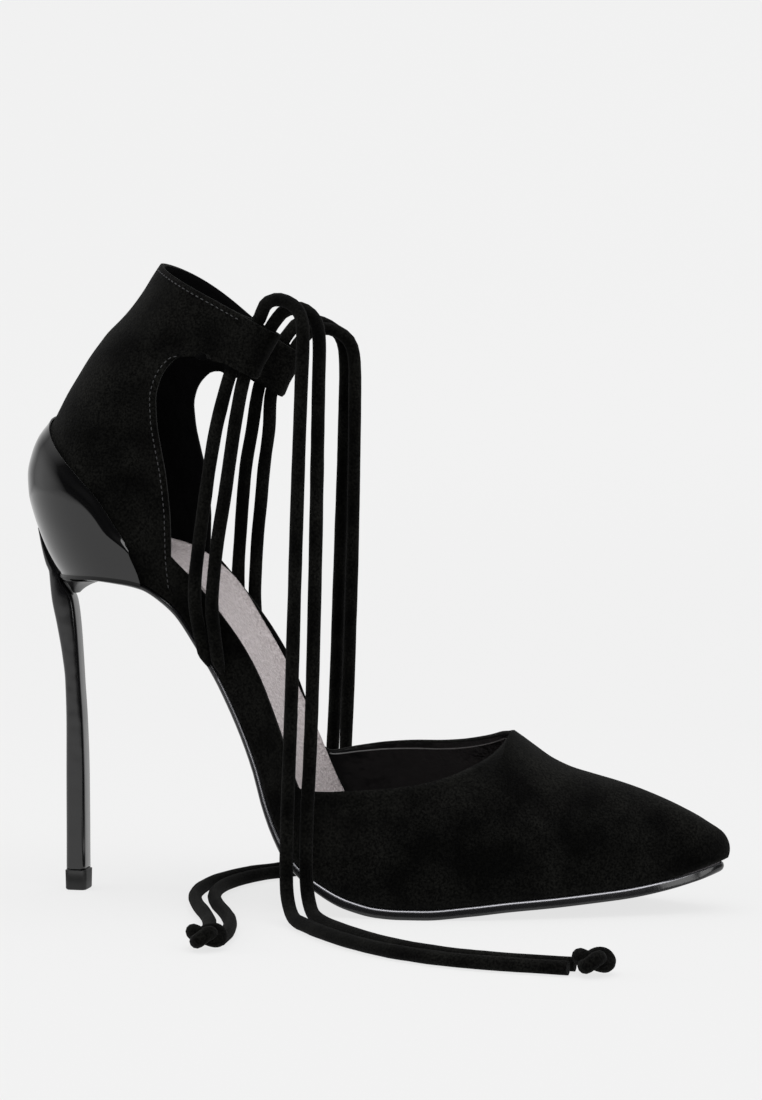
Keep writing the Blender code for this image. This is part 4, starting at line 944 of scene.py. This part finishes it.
def lining():
    made, shader = material("lining", (0.0025, 0.0025, 0.0026), 0.32)
    folds = add_grain(made, 140.0, 0.0014, 3.0)
    skin = add_grain(made, 1800.0, 0.00005, 4.0, folds)
    tree = made.node_tree
    run = object_axis(tree, "X")
    for socket, cuff, toe in (("Roughness", 0.95, 0.32), ("Specular IOR Level", 0.03, 0.22)):
        tree.links.new(map_range(tree, run, *CUFF_TO_TOE, cuff, toe), shader.inputs[socket])
    tree.links.new(skin.outputs["Normal"], shader.inputs["Normal"])
    return made


LINING = lining()
print("made", LINING.name)

# %% [markdown]
# ## Patent and lacquer
# Patent leather is a black skin under a thick clear film, so it has a coat with hardly any
# roughness. The stem's lacquer is a little softer and slightly wavy.
# A plain smooth black would do from afar. The coat keeps its own sharp reflection over the
# skin's slight waves.

# %% Patent and lacquer
def patent():
    made, shader = material("patent", (0.002, 0.002, 0.0022), 0.06)
    skin = add_grain(made, 60.0, 0.00006, 2.0)
    shader.inputs["Coat Weight"].default_value = 1.0
    shader.inputs["Coat Roughness"].default_value = 0.02
    made.node_tree.links.new(skin.outputs["Normal"], shader.inputs["Normal"])
    return made


def lacquer():
    made, shader = material("lacquer", (0.003, 0.003, 0.0034), 0.14)
    waves = add_grain(made, 130.0, 0.00025, 1.0)
    shader.inputs["Coat Weight"].default_value = 1.0
    shader.inputs["Coat Roughness"].default_value = 0.06
    made.node_tree.links.new(waves.outputs["Normal"], shader.inputs["Normal"])
    return made


PATENT, LACQUER = patent(), lacquer()
print("made", PATENT.name, LACQUER.name)

# %% [markdown]
# ## Sock, sole and tread
# The sock is a pale mauve leather with embossed pores, and its pits are painted darker as a
# painted shade. The sole's edge is inked and polished, and its tread is left dull.
# A photo of leather could be laid on. Grain made from noise has no seam and stays sharp.

# %% Sock, sole and tread
def sock_leather():
    made, shader = material("sock_leather", (0.30, 0.265, 0.275), 0.5)
    clouds = add_grain(made, 45.0, 0.0002, 3.0)
    pores_and_pit_shade = add_grain(made, 950.0, 0.0009, 3.0, clouds)
    # pits darker and raised grain lighter: painted shade in the pores, over the leather's own tone
    tint(made, shader, pores_and_pit_shade, "Base Color", (0.39, 0.348, 0.351), (0.535, 0.487, 0.492), 0.36, 0.64)
    made.node_tree.links.new(pores_and_pit_shade.outputs["Normal"], shader.inputs["Normal"])
    return made


def sole_leather():
    made, shader = material("sole_edge", (0.008, 0.008, 0.009), 0.22)
    fibres = add_grain(made, 900.0, 0.00004, 3.0)
    shader.inputs["Coat Weight"].default_value = 0.6
    shader.inputs["Coat Roughness"].default_value = 0.12
    made.node_tree.links.new(fibres.outputs["Normal"], shader.inputs["Normal"])
    return made


def tread():
    made, shader = material("tread", (0.012, 0.012, 0.012), 0.55)
    fibres = add_grain(made, 700.0, 0.0002, 5.0)
    made.node_tree.links.new(fibres.outputs["Normal"], shader.inputs["Normal"])
    return made


SOCK, SOLE_EDGE, TREAD = sock_leather(), sole_leather(), tread()
print("made", SOCK.name, SOLE_EDGE.name, TREAD.name)

# %% [markdown]
# ## Small plain materials
# Thread, binding, bead, breast and rubber show so little that a grain of their own would be
# lost. Each is one colour with its own roughness, made once and shared by the pieces below.

# %% Small plain materials
THREAD = material("thread", (0.035, 0.035, 0.037), 0.8)[0]
BINDING = material("binding", (0.13, 0.13, 0.13), 0.25)[0]
# the bead's light grey metal is a painted highlight: it shows as a bright line along the black
# sole's edge
BEAD_HIGHLIGHT, shader = material("painted_bead_highlight", (0.30, 0.30, 0.32), 0.2)
shader.inputs["Metallic"].default_value = 0.8
BREAST = material("heel_breast", (0.003, 0.003, 0.0032), 0.3)[0]
RUBBER = material("rubber", (0.012, 0.012, 0.012), 0.5)[0]
print("materials:", len(bpy.data.materials))

# %% [markdown]
# ## A piece that rides on the shoe
# Every solid piece is a welded, smooth mesh. It is made through bmesh, because operators would
# depend on what is selected, and it rides on the shoe's one body.

# %% A piece that rides on the shoe
def new_piece(name, verts, faces, materials, weld=True):
    """Welded smooth mesh that rides on the shoe."""
    mesh = bpy.data.meshes.new(name)
    mesh.from_pydata([tuple(v) for v in verts], [], faces)
    work = bmesh.new()
    work.from_mesh(mesh)
    if weld:
        bmesh.ops.remove_doubles(work, verts=work.verts, dist=2e-6)
        bmesh.ops.dissolve_degenerate(work, edges=work.edges, dist=2e-6)
    if all(edge.is_manifold for edge in work.edges):
        bmesh.ops.recalc_face_normals(work, faces=work.faces)
    work.to_mesh(mesh)
    work.free()
    mesh.shade_smooth()
    made = bpy.data.objects.new(name, mesh)
    SCENE.collection.objects.link(made)
    for one in materials:
        mesh.materials.append(one)
    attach(made, "root")
    return made

# %% [markdown]
# ## Sheets, rings and rounded edges
# A sheet joins neighbouring columns of points, and a ring body joins closed rings and caps both
# ends. A bevel by angle rounds what a real tool would leave rounded.

# %% Sheets, rings and rounded edges
def grid(verts, faces, columns, flip=False):
    start = len(verts)
    height = len(columns[0])
    for column in columns:
        verts.extend(column)
    for i in range(len(columns) - 1):
        for k in range(height - 1):
            a = start + i * height + k
            quad = (a, a + height, a + height + 1, a + 1)
            faces.append(quad[::-1] if flip else quad)


def ring_faces(rings, capped=True):
    verts, faces = [], []
    size = len(rings[0])
    for ring in rings:
        verts.extend(ring)
    for i in range(len(rings) - 1):
        for k in range(size):
            a, b = i * size + k, i * size + (k + 1) % size
            faces.append((a, b, b + size, a + size))
    if capped:
        faces.append(tuple(range(size))[::-1])
        faces.append(tuple(range((len(rings) - 1) * size, len(rings) * size)))
    return verts, faces


def round_edges(made, width, segments=3, angle=35):
    edge = made.modifiers.new("edge", "BEVEL")
    edge.width = width
    edge.segments = segments
    edge.limit_method = "ANGLE"
    edge.angle_limit = math.radians(angle)
    edge.harden_normals = True

# %% [markdown]
# ## Round cords
# A tie is a curve with a round bevel, not a swept mesh: its points stay easy to move, and its
# thickness can change from point to point.

# %% Round cords
def tube(name, points, material, radii=None):
    curve = bpy.data.curves.new(name, "CURVE")
    curve.dimensions = "3D"
    curve.bevel_depth = TIE / 2
    curve.bevel_resolution = 4
    curve.use_fill_caps = True
    spline = curve.splines.new("POLY")
    spline.points.add(len(points) - 1)
    for i, place in enumerate(points):
        spline.points[i].co = (*place, 1.0)
        spline.points[i].radius = radii[i] if radii else 1.0
    spline.use_smooth = True
    made = bpy.data.objects.new(name, curve)
    SCENE.collection.objects.link(made)
    curve.materials.append(material)
    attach(made, "root")
    return made


def length_of(points):
    return sum((Vector(b) - Vector(a)).length for a, b in zip(points, points[1:]))

# %% [markdown]
# ## Knots
# Each pair of ties ends in an overhand knot. A trefoil line, pulled flat onto the floor, has
# the same three crossings. The ties' thickness changes slightly, as cut suede does.

# %% Knots
TUCK = [(0.0010, 0.0022, 0.0042), (0.0006, 0.0012, 0.0026), (0.0002, 0.0004, 0.0011)]
SWELL = 0.022             # change of a tie's thickness, as a share


def suede_swell(count, seed):
    """Slight changes of thickness along a tie."""
    noise = np.random.default_rng(seed).normal(0, 1, count)
    soft = np.convolve(noise, np.ones(3) / 3, mode="same")
    return [1.0 + SWELL * float(np.clip(v, -1.5, 1.5)) - 0.02 for v in soft]


for side_name, (x, y, z) in KNOTS.items():
    scale = TIE_KNOT / 8.6
    loop = [(x + (math.sin(t) + 2 * math.sin(2 * t)) * scale,
             y + (math.cos(t) - 2 * math.cos(2 * t)) * scale,
             z - 0.0022 - math.sin(3 * t) * scale * 0.8)
            for t in (2 * math.pi * i / 72 for i in range(73))]
    tube(side_name + "_tied", loop, SUEDE)
    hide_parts(side_name)


# %% [markdown]
# ## Ties
# Each held stretch runs from the sole's edge into the tab's tunnel, and the free tie goes on
# from there to the floor. The held end is tucked in at the sole's edge.

# %% Ties
HELD_STEP, FREE_STEP = 0.0022, 0.0024     # distance from point to point
for count, (name, route) in enumerate(TIE_ROUTES.items()):
    side, which = (INNER if "inner" in name else OUTER), name.split("_")[2]
    bar = even_points(bar_route(side, which), HELD_STEP)
    low = Vector(bar[0])
    tuck = [low + Vector((run, -side * inward, -drop)) for run, inward, drop in TUCK]
    swell = [0.35, 0.62, 0.86] + suede_swell(len(bar), count)
    held = tube(name.replace("tie", "held"), [tuple(v) for v in tuck] + bar, SUEDE, swell)
    replaced = name.replace("tie", "lace_bar")
    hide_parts(replaced)
    axis = (Vector(bar[-1]) - Vector(bar[-2])).normalized()
    start = Vector(bar[-1]) + axis * GAP / 3
    line = [tuple(start), *even_points([tuple(start + axis * TIE * 0.4), *route[1:]], FREE_STEP)]
    free = tube(name + "_free", line, SUEDE, suede_swell(len(line), 10 + count))
    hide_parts(name)
    print(name, "free", round(length_of(line), 3), "m, held", round(length_of(bar), 3), "m")

# %% [markdown]
# ## Finer sections of the upper
# The same functions give the solid and the surface that is seen. Here they are read at more
# places, with one column kept exactly at the throat.

# %% Finer sections of the upper
UPPER_STEPS = 14
UPPER_COLUMNS = 150
CUFF_STEPS = 48
SIDE_STEPS = 22
FOLD_STEPS = 36


def fine_feet():
    first, last = share_of(FIRST_FOOT * TOE_REACH), 1.0
    feet = []
    for i in range(UPPER_COLUMNS + 1):
        share = first + (last - first) * i / UPPER_COLUMNS
        run = HEEL_END + (TOE_END - HEEL_END) * (1 - math.cos(math.pi * share)) / 2
        feet.append(run / TOE_REACH)
    throat = min(range(len(feet)), key=lambda i: abs(feet[i] - THROAT_FOOT))
    feet[throat] = THROAT_FOOT
    return feet


def fine_rows():
    high = [WALL_ROWS + (TOP_ROW - WALL_ROWS) * i / CUFF_STEPS for i in range(CUFF_STEPS + 1)]
    return [WALL_ROWS * i / UPPER_STEPS for i in range(UPPER_STEPS)] + high


def fine_shares():
    return ([ARC_SHARE * i / SIDE_STEPS for i in range(SIDE_STEPS)]
            + [ARC_SHARE + (1 - ARC_SHARE) * i / SIDE_STEPS for i in range(SIDE_STEPS + 1)])


def fine_fold():
    rough = [(0.0, 0.0)] + fold_path()
    steps = np.linspace(0, len(rough) - 1, FOLD_STEPS)
    along = [float(smooth(range(len(rough)), [p[0] for p in rough], s)) for s in steps[1:]]
    inward = [float(smooth(range(len(rough)), [p[1] for p in rough], s)) for s in steps[1:]]
    return list(zip(along, inward))

# %% [markdown]
# ## Upper
# One skin, suede outside and lining inside. Sewn pieces could be modelled one by one, but a
# lasted upper has no gaps. A Solidify modifier gives the wall its thickness inward, so the
# outer face stays where the tables put it.

# %% Upper
verts, faces = [], []
for side in (OUTER, INNER):
    grid(verts, faces, [[wall_point(side, foot, k / UPPER_STEPS) for k in range(UPPER_STEPS + 1)]
                        for foot in fine_feet()], side == INNER)
    grid(verts, faces, [[quarter_point(row, q, side) for row in fine_rows()]
                        for q in fine_shares()], side == INNER)
    tab = [row for row in fine_rows() if row >= TAB_ROW - 1e-9]
    folds = [[quarter_point(row, 1.0, side) for row in tab]]
    folds += [[fold_point(side, row, *step) for row in tab] for step in fine_fold()]
    grid(verts, faces, folds, side == INNER)
upper = new_piece("upper_suede", verts, faces, [SUEDE, LINING])
wall = upper.modifiers.new("wall", "SOLIDIFY")
wall.thickness = WALL
wall.offset = -1.0
wall.use_quality_normals = True
wall.material_offset = 1
wall.material_offset_rim = 0
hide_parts("upper")
print("upper faces", len(upper.data.polygons))

# %% [markdown]
# ## Binding inside the topline
# A glossy line of binding shows a few millimetres under the topline, inside. It follows the
# wall at the depth of its inner face, up one side and down the other.

# %% Binding inside the topline
def inside_spot(side, foot, t, depth):
    """Point inside the wall, at this depth from its outer face."""
    place = wall_point(side, foot, t)
    along = wall_point(side, foot + 0.004, t) - wall_point(side, foot - 0.004, t)
    up = wall_point(side, foot, min(t + 0.02, 1.0)) - wall_point(side, foot, t - 0.02)
    return place - along.cross(up).normalized() * depth * -side


BINDING_FROM, BINDING_TO, BINDING_UP = 0.335, 0.670, 0.945
line = []
for side in (INNER, OUTER):
    feet = np.linspace(BINDING_FROM, BINDING_TO, 71)
    line += [inside_spot(side, foot, BINDING_UP, WALL + 0.00005)
             for foot in (feet if side == INNER else feet[::-1])]
binding = tube("lining_edge", [tuple(v) for v in line], BINDING, [0.11] * len(line))
print("binding", round(length_of(line), 3), "m")

# %% [markdown]
# ## Topstitching
# A grey thread runs round the cut-out and under the rim. A dashed texture would look flat at
# this distance, so each stitch is a small bead that lies along the line.

# %% Topstitching
STITCH, PITCH, THREAD_THICK, STITCH_IN = 0.0011, 0.0018, 0.00036, 0.0016
CUT_FROM, CUT_TO = 0.6, 13.2      # quarter rows between which the cut-out is stitched


def stitch_mesh(verts, faces, middle, along, out):
    """One short stitch, a six-sided bead with pointed ends."""
    across = along.cross(out).normalized()
    out = across.cross(along).normalized()
    base = len(verts)
    for share, size in ((-0.5, 0.25), (-0.3, 1.0), (0.3, 1.0), (0.5, 0.25)):
        for k in range(6):
            a = math.pi * k / 3
            verts.append(middle + along * share * STITCH
                         + (across * math.cos(a) + out * math.sin(a)) * THREAD_THICK / 2 * size)
    for i in range(3):
        for k in range(6):
            a, b = base + i * 6 + k, base + i * 6 + (k + 1) % 6
            faces.append((a, b, b + 6, a + 6))
    faces.append(tuple(base + k for k in range(6))[::-1])
    faces.append(tuple(base + 18 + k for k in range(6)))


def stitch_line(verts, faces, spots):
    """Stitches at an even pitch along a line of (place, outward) pairs."""
    gone, due = 0.0, PITCH
    for (a, out), (b, _) in zip(spots, spots[1:]):
        step = (b - a).length
        while gone + step >= due:
            share = (due - gone) / step
            stitch_mesh(verts, faces, a.lerp(b, share), (b - a).normalized(), out)
            due += PITCH
        gone += step


def skin_spot(row, q, side):
    low = quarter_point(row, q, side)
    high = quarter_point(row, q, side, 0.00012)
    return high, (high - low).normalized()


def inside_edge(row, side):
    """Column share that lies STITCH_IN behind the front edge."""
    reach = (quarter_spot(row, 1.0, side) - quarter_spot(row, ARC_SHARE, side)).length
    return 1 - (1 - ARC_SHARE) * STITCH_IN / reach


verts, faces = [], []
for side in (OUTER, INNER):
    rows = [CUT_FROM + (CUT_TO - CUT_FROM) * i / 120 for i in range(121)]
    stitch_line(verts, faces, [skin_spot(row, inside_edge(row, side), side) for row in rows])
    rim = [0.12 + 0.70 * i / 80 for i in range(81)]
    stitch_line(verts, faces, [skin_spot(TOP_ROW - 0.30, q, side) for q in rim])
stitches = new_piece("topstitching", verts, faces, [THREAD])
print("stitch faces", len(stitches.data.polygons))

# %% [markdown]
# ## Heel cover
# The patent skin laps the cup and thins out toward its front edge, where the real one is
# skived. A dark strip closes its lower edge.

# %% Heel cover
EDGE_OUT = 0.00045         # the cover thins out toward its front edge
COVER_BANDS = 30


def cover_columns(out, columns, rows):
    made = []
    for side in (OUTER, INNER):
        half = []
        corner = cover_corner(side)
        for i in range(columns + 1):
            q = corner * i / columns
            top = cover_top(q, side)
            column = [quarter_point(top * k / rows, q, side,
                                    EDGE_OUT + (out - EDGE_OUT) * ease(top * (rows - k) / rows))
                      for k in range(rows + 1)]
            column.insert(0, column[0] - Vector((0, 0, COVER_DROP)))
            half.append(column)
        made += half[:0:-1] if side == OUTER else half
    return made


verts, faces = [], []
grid(verts, faces, cover_columns(COVER_GAP + COVER_THICK, 44, COVER_BANDS))
cover = new_piece("heel_cover_patent", verts, faces, [PATENT, BREAST])
for face in cover.data.polygons:
    face.material_index = 1 if face.index % (COVER_BANDS + 1) == 0 else 0
skin = cover.modifiers.new("skin", "SOLIDIFY")
skin.thickness = 0.0005
skin.offset = -1.0
skin.material_offset_rim = 1
round_edges(cover, 0.0004, 3, 50)
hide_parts("heel_cover")
print("cover faces", len(cover.data.polygons))

# %% [markdown]
# ## Heel block
# Under the cover the cup tapers into the stem. Oval rings, one for each height, give that
# taper, and they are hidden above by the cover.
# A stretched cylinder could stand in, but it wouldn't meet both outlines.

# %% Heel block
def plan_ring(back, front, half, rise):
    middle, reach = (front + back) / 2, (front - back) / 2
    return [Vector((middle - reach * math.cos(a), half * math.sin(a), rise))
            for a in (2 * math.pi * i / 72 for i in range(72))]


BLOCK_STEPS = 24
heights = [row[0] for row in BLOCK_ROWS]
rings = []
for i in range(BLOCK_STEPS + 1):
    rise = heights[0] + (heights[-1] - heights[0]) * i / BLOCK_STEPS
    back, front, half = (float(smooth(heights, [row[c] for row in BLOCK_ROWS], rise))
                         for c in (1, 2, 3))
    rings.append(plan_ring(back * TAB_REACH, front * TAB_REACH, half * SEAT_WIDTH,
                           rise * HEEL_RISE))
block = new_piece("heel_block_breast", *ring_faces(rings), [BREAST])
print("heel block rings", len(rings))

# %% [markdown]
# ## Heel seat behind the outsole
# Behind the outsole a flat plate closes the cup from below. It follows the round of the heel
# and ends in a straight line in front.
# A Boolean with the outsole would leave slivers, so the ring is drawn with its own front edge.

# %% Heel seat behind the outsole
def seat_ring(rise, lap):
    seat, depth = QUARTER[0, 0], QUARTER[0, 6]
    limit = math.acos(1 - (BLOCK_FRONT - seat + lap) / (depth + lap))
    wide = QUARTER[0, 4] + lap
    arc = [limit * (2 * i / 60 - 1) for i in range(61)]
    ring = [Vector((seat + depth - (depth + lap) * math.cos(a), wide * math.sin(a), rise))
            for a in arc]
    end = ring[-1].y
    return ring + [Vector((BLOCK_FRONT, end * (1 - 2 * i / 12), rise)) for i in range(1, 12)]


rings = [seat_ring(HEEL_RISE - GAP * 0.6, COVER_GAP + COVER_THICK * 0.8),
         seat_ring(HEEL_RISE + SHANK_THICK * 0.9, COVER_GAP + COVER_THICK * 0.8)]
seat = new_piece("heel_seat_patent", *ring_faces(rings), [BREAST])
round_edges(seat, 0.0005, 3, 40)
print("heel seat faces", len(seat.data.polygons))

# %% [markdown]
# ## Heel stem
# The stem is a steel pin in a lacquered shell, nearly rectangular with round corners, and it
# narrows into the fin. Rings at even heights follow its side view.
# A swept curve has one section for its whole length, and this stem has not.

# %% Heel stem
def rounded_ring(middle, reach, half, corner, rise, arc=6):
    """Rectangle with round corners, seen from above."""
    corner = min(corner, reach * 0.95, half * 0.95)
    ring = []
    for quarter, (sx, sy) in enumerate(((1, 1), (-1, 1), (-1, -1), (1, -1))):
        for i in range(arc + 1):
            a = math.pi / 2 * (quarter + i / arc)
            ring.append(Vector((middle + sx * (reach - corner) + corner * math.cos(a),
                                sy * (half - corner) + corner * math.sin(a), rise)))
    return ring


STEM_STEPS = 120
lines = stem_profile()
rises = [line[2] for line in lines]
rings = []
for i in range(STEM_STEPS + 1):
    rise = rises[0] + (rises[-1] - rises[0]) * i / STEM_STEPS
    back = float(smooth(rises, [line[0] for line in lines], rise))
    front = float(smooth(rises, [line[1] for line in lines], rise))
    half = STEM_WIDTH / 2 * (1 - 0.35 * ease((rise - HEEL_RISE) / (FIN_TOP - HEEL_RISE)))
    rings.append(rounded_ring((back + front) / 2, (front - back) / 2, half, 0.0016, rise))
stem = new_piece("heel_stem_lacquer", *ring_faces(rings), [LACQUER])
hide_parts("heel_stem")
print("stem rises to", round(rises[-1], 4), "m")

# %% [markdown]
# ## Heel tip
# The top piece is a small block of hard rubber, as wide as the stem, and the shoe stands on it.
# A bevel on a box would do, but the stem's own ring function keeps the corners in line.

# %% Heel tip
rings = []
for rise, grow in ((0.0, -0.0003), (0.0004, 0.0), (STEM_ROWS[0][0] * HEEL_RISE - GAP, 0.0001)):
    rings.append(rounded_ring(0.0, TIP_LENGTH / 2 + grow, STEM_WIDTH / 2 + grow, 0.0014, rise))
tip = new_piece("heel_tip_rubber", *ring_faces(rings), [RUBBER])
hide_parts("heel_tip")
print("heel tip", TIP_LENGTH, "m long")

# %% [markdown]
# ## Outsole
# The leather sole is 2 mm thick in the waist and 3 mm at the tread. Its rings run across the
# shoe, with a rounded lower edge and a bead along the upper one that is given a light grey
# metal: a painted highlight along the black edge.
# A Solidify modifier could thicken a flat sheet, but its edge would be square all round.

# %% Outsole
BEAD = 0.0007             # bead along the sole's upper edge, which carries the painted highlight
SOLE_STEPS = 180
BEVEL_STEPS = 6
rings = []
start = share_of(OUTSOLE_START)
for i in range(SOLE_STEPS + 1):
    share = start + (1 - start) * i / SOLE_STEPS
    run = rim_point(share, OUTER, 0)[0]
    waist = 1 - ease((run - 0.068) / 0.026)
    tip = ease((run - TOE_END + 0.010) / 0.009)
    bevel = 0.0004 + (SOLE_BEVEL - 0.0004) * waist + TIP_BEVEL * tip
    thick = sole_thickness(run)
    inset = GAP * (1 - ease((run - 0.030) / 0.006))
    inset += TOE_OVERHANG * ease((run - TOE_END + 0.022) / 0.018)
    sides = {}
    for side in (OUTER, INNER):
        column = []
        for part in range(BEVEL_STEPS + 1):
            a = math.pi / 2 * part / BEVEL_STEPS
            drawn = inset + bevel * (1 - math.sin(a))
            column.append(over_sole(*rim_point(share, side, drawn),
                                    (0.0004 + 0.0008 * waist + 0.0013 * tip) * (1 - math.cos(a))))
        column.append(over_sole(*rim_point(share, side, inset), thick - BEAD))
        column.append(over_sole(*rim_point(share, side, inset + BEAD * 0.8), thick))
        sides[side] = column
    low = (sides[OUTER][0] + sides[INNER][0]) / 2
    top = (sides[OUTER][-1] + sides[INNER][-1]) / 2
    rings.append([low, *sides[INNER], top, *sides[OUTER][::-1]])
outsole = new_piece("outsole_leather", *ring_faces(rings), [SOLE_EDGE, TREAD, BEAD_HIGHLIGHT])
SIDE_FACES = (8, 11)        # the bead on either side of a ring
for i, face in enumerate(outsole.data.polygons):
    flat = face.normal.z < -0.93 and face.center.x > 0.09
    # the bead's faces on either side take the painted highlight
    bead = i % len(rings[0]) in SIDE_FACES and face.center.x > 0.045
    face.material_index = 1 if flat else 2 if bead else 0
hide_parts("outsole")
print("outsole rings", len(rings))

# %% [markdown]
# ## Insole
# The padded sock lies on its board and curls up at the edge. Its rings are drawn in toward the
# middle, so the surface swells a little as padding does.
# A cloth pillow would swell too much for a thin sock.

# %% Insole
rings = []
inset = GAP + WALL + GAP
SOCK_STEPS = 160
KEEPS = [(0.97, 0.72), (0.94, 0.50), (0.90, 0.32), (0.85, 0.18), (0.79, 0.08), (0.70, 0.02),
         (0.55, 0.0), (0.37, 0.0), (0.18, 0.0)]
for i in range(SOCK_STEPS + 1):
    share = i / SOCK_STEPS
    run = rim_point(share, OUTER, 0)[0]
    bed = float(smooth([HEEL_END, 0.060, 0.095, TOE_END],
                       [BED_LIFT, BED_LIFT, BALL_LIFT, BALL_LIFT], run))
    flare = 0.0004 + 0.0040 * max(1 - (run - HEEL_END) / 0.012, 0.0)
    flare *= 1 - ease((run - 0.030) / 0.010)
    thick = sole_thickness(run) + BED_GAP
    halves = []
    for side in (OUTER, INNER):
        column = [over_sole(*drawn_in(share, side, inset, keep), thick)
                  for keep in (0.25, 0.5, 0.75, 1.0)]
        column.append(over_sole(*drawn_in(share, side, inset - flare, 1.0), bed + BED_CUP))
        column += [over_sole(*drawn_in(share, side, inset, keep), bed + BED_CUP * curl)
                   for keep, curl in KEEPS]
        halves.append(column)
    low = drawn_in(share, OUTER, inset, 0.0)
    rings.append([over_sole(*low, thick), *halves[1], over_sole(*low, bed), *halves[0][::-1]])
insole = new_piece("insole_sock", *ring_faces(rings, False), [SOCK])
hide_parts("insole")
print("insole rings", len(rings))

# %% [markdown]
# ## Paper sweep
# The shoe stands on pale paper that rises behind it without a corner. The paper glows a little
# more toward the back, so it keeps one tone in the picture.

# %% Paper sweep
PAPER_GLOW = (0.5, 1.8, 0.845, 0.895)     # from Y, to Y, glow near and far
SWEEP = [(-1.6, 0.0), (0.0, 0.0), (1.2, 0.0), (1.7, 0.06), (2.1, 0.25), (2.35, 0.6), (2.45, 1.2),
         (2.5, 2.6)]
columns = [[Vector((x, y, z)) for y, z in SWEEP] for x in (-3.0, 3.0)]
mesh = bpy.data.meshes.new("sweep")
size = len(SWEEP)
mesh.from_pydata([tuple(v) for column in columns for v in column], [],
                 [(k, k + 1, k + 1 + size, k + size) for k in range(size - 1)])
mesh.shade_smooth()
sweep = bpy.data.objects.new("sweep", mesh)
SCENE.collection.objects.link(sweep)
paper, shader = material("paper", (0.10, 0.10, 0.10), 1.0)
shader.inputs["Specular IOR Level"].default_value = 0.0
shader.inputs["Emission Color"].default_value = (0.88, 0.88, 0.88, 1.0)
glow = map_range(paper.node_tree, object_axis(paper.node_tree, "Y"), *PAPER_GLOW)
paper.node_tree.links.new(glow, shader.inputs["Emission Strength"])
sweep.visible_glossy = False
mesh.materials.append(paper)
print("paper faces", len(mesh.polygons))

# %% [markdown]
# ## Lights
# Black suede needs broad soft lights: a big one above and one on each side. The left one is
# hidden from glossy surfaces, so it leaves no square in the patent.
# One lamp alone would leave the side of the shoe without a shape.

# %% Lights
def softbox(name, place, aim, width, height, power):
    light = bpy.data.lights.new(name, "AREA")
    light.shape = "RECTANGLE"
    light.size, light.size_y = width, height
    light.energy = power
    made = bpy.data.objects.new(name, light)
    SCENE.collection.objects.link(made)
    made.location = place
    made.rotation_euler = (Vector(aim) - Vector(place)).to_track_quat("-Z", "Y").to_euler()
    return made


softbox("top", (0.1, -0.1, 1.5), (0.1, 0, 0.1), 1.6, 1.6, 18)
softbox("left", (-1.5, -0.35, 0.55), (0.0, 0, 0.12), 0.5, 1.0, 8).visible_glossy = False
softbox("right", (1.5, -0.8, 0.8), (0.1, 0, 0.1), 0.7, 1.4, 6)
print("lights", len(bpy.data.lights))

# %% [markdown]
# ## Room
# Patent leather shows what stands round it. The room is white for matte surfaces. Glossy ones
# see a pale floor, a dark wall above it and light edges at the back and the left, as in a photo
# studio.

# %% Room
world = bpy.data.worlds.new("world")
SCENE.world = world
world.use_nodes = True
nodes, links = world.node_tree.nodes, world.node_tree.links
room = nodes["Background"]
room.inputs["Color"].default_value = (0.95, 0.95, 0.95, 1.0)
room.inputs["Strength"].default_value = 0.75
mirrored = nodes.new("ShaderNodeBackground")
ramp = nodes.new("ShaderNodeValToRGB")
place, split = nodes.new("ShaderNodeTexCoord"), nodes.new("ShaderNodeSeparateXYZ")
rays, mix = nodes.new("ShaderNodeLightPath"), nodes.new("ShaderNodeMixShader")
for i, (at, value) in enumerate(((0.0, 0.55), (0.455, 0.62), (0.48, 0.03), (0.62, 0.015),
                                 (0.85, 0.10), (1.0, 0.5))):
    stop = ramp.color_ramp.elements[i] if i < 2 else ramp.color_ramp.elements.new(at)
    stop.position = at
    stop.color = (value, value, value, 1.0)
links.new(place.outputs["Generated"], split.inputs["Vector"])
links.new(map_range(world.node_tree, split.outputs["Z"], -1.0, 1.0, 0.0, 1.0),
          ramp.inputs["Fac"])
both, lighter = nodes.new("ShaderNodeMath"), nodes.new("ShaderNodeMath")
both.operation = "MAXIMUM"
lighter.operation = "MAXIMUM"
aside = map_range(world.node_tree, split.outputs["X"], -0.74, -0.99, 0.0, 0.5)
behind = map_range(world.node_tree, split.outputs["Y"], 0.15, 0.85, 0.0, 0.55)
links.new(aside, both.inputs[0])
links.new(behind, both.inputs[1])
links.new(both.outputs["Value"], lighter.inputs[0])
links.new(ramp.outputs["Color"], lighter.inputs[1])
links.new(lighter.outputs["Value"], mirrored.inputs["Color"])
links.new(rays.outputs["Is Glossy Ray"], mix.inputs["Fac"])
links.new(room.outputs["Background"], mix.inputs[1])
links.new(mirrored.outputs["Background"], mix.inputs[2])
links.new(mix.outputs["Shader"], nodes["World Output"].inputs["Surface"])
SCENE.view_settings.view_transform = "Standard"
print("tones of the room", len(ramp.color_ramp.elements))
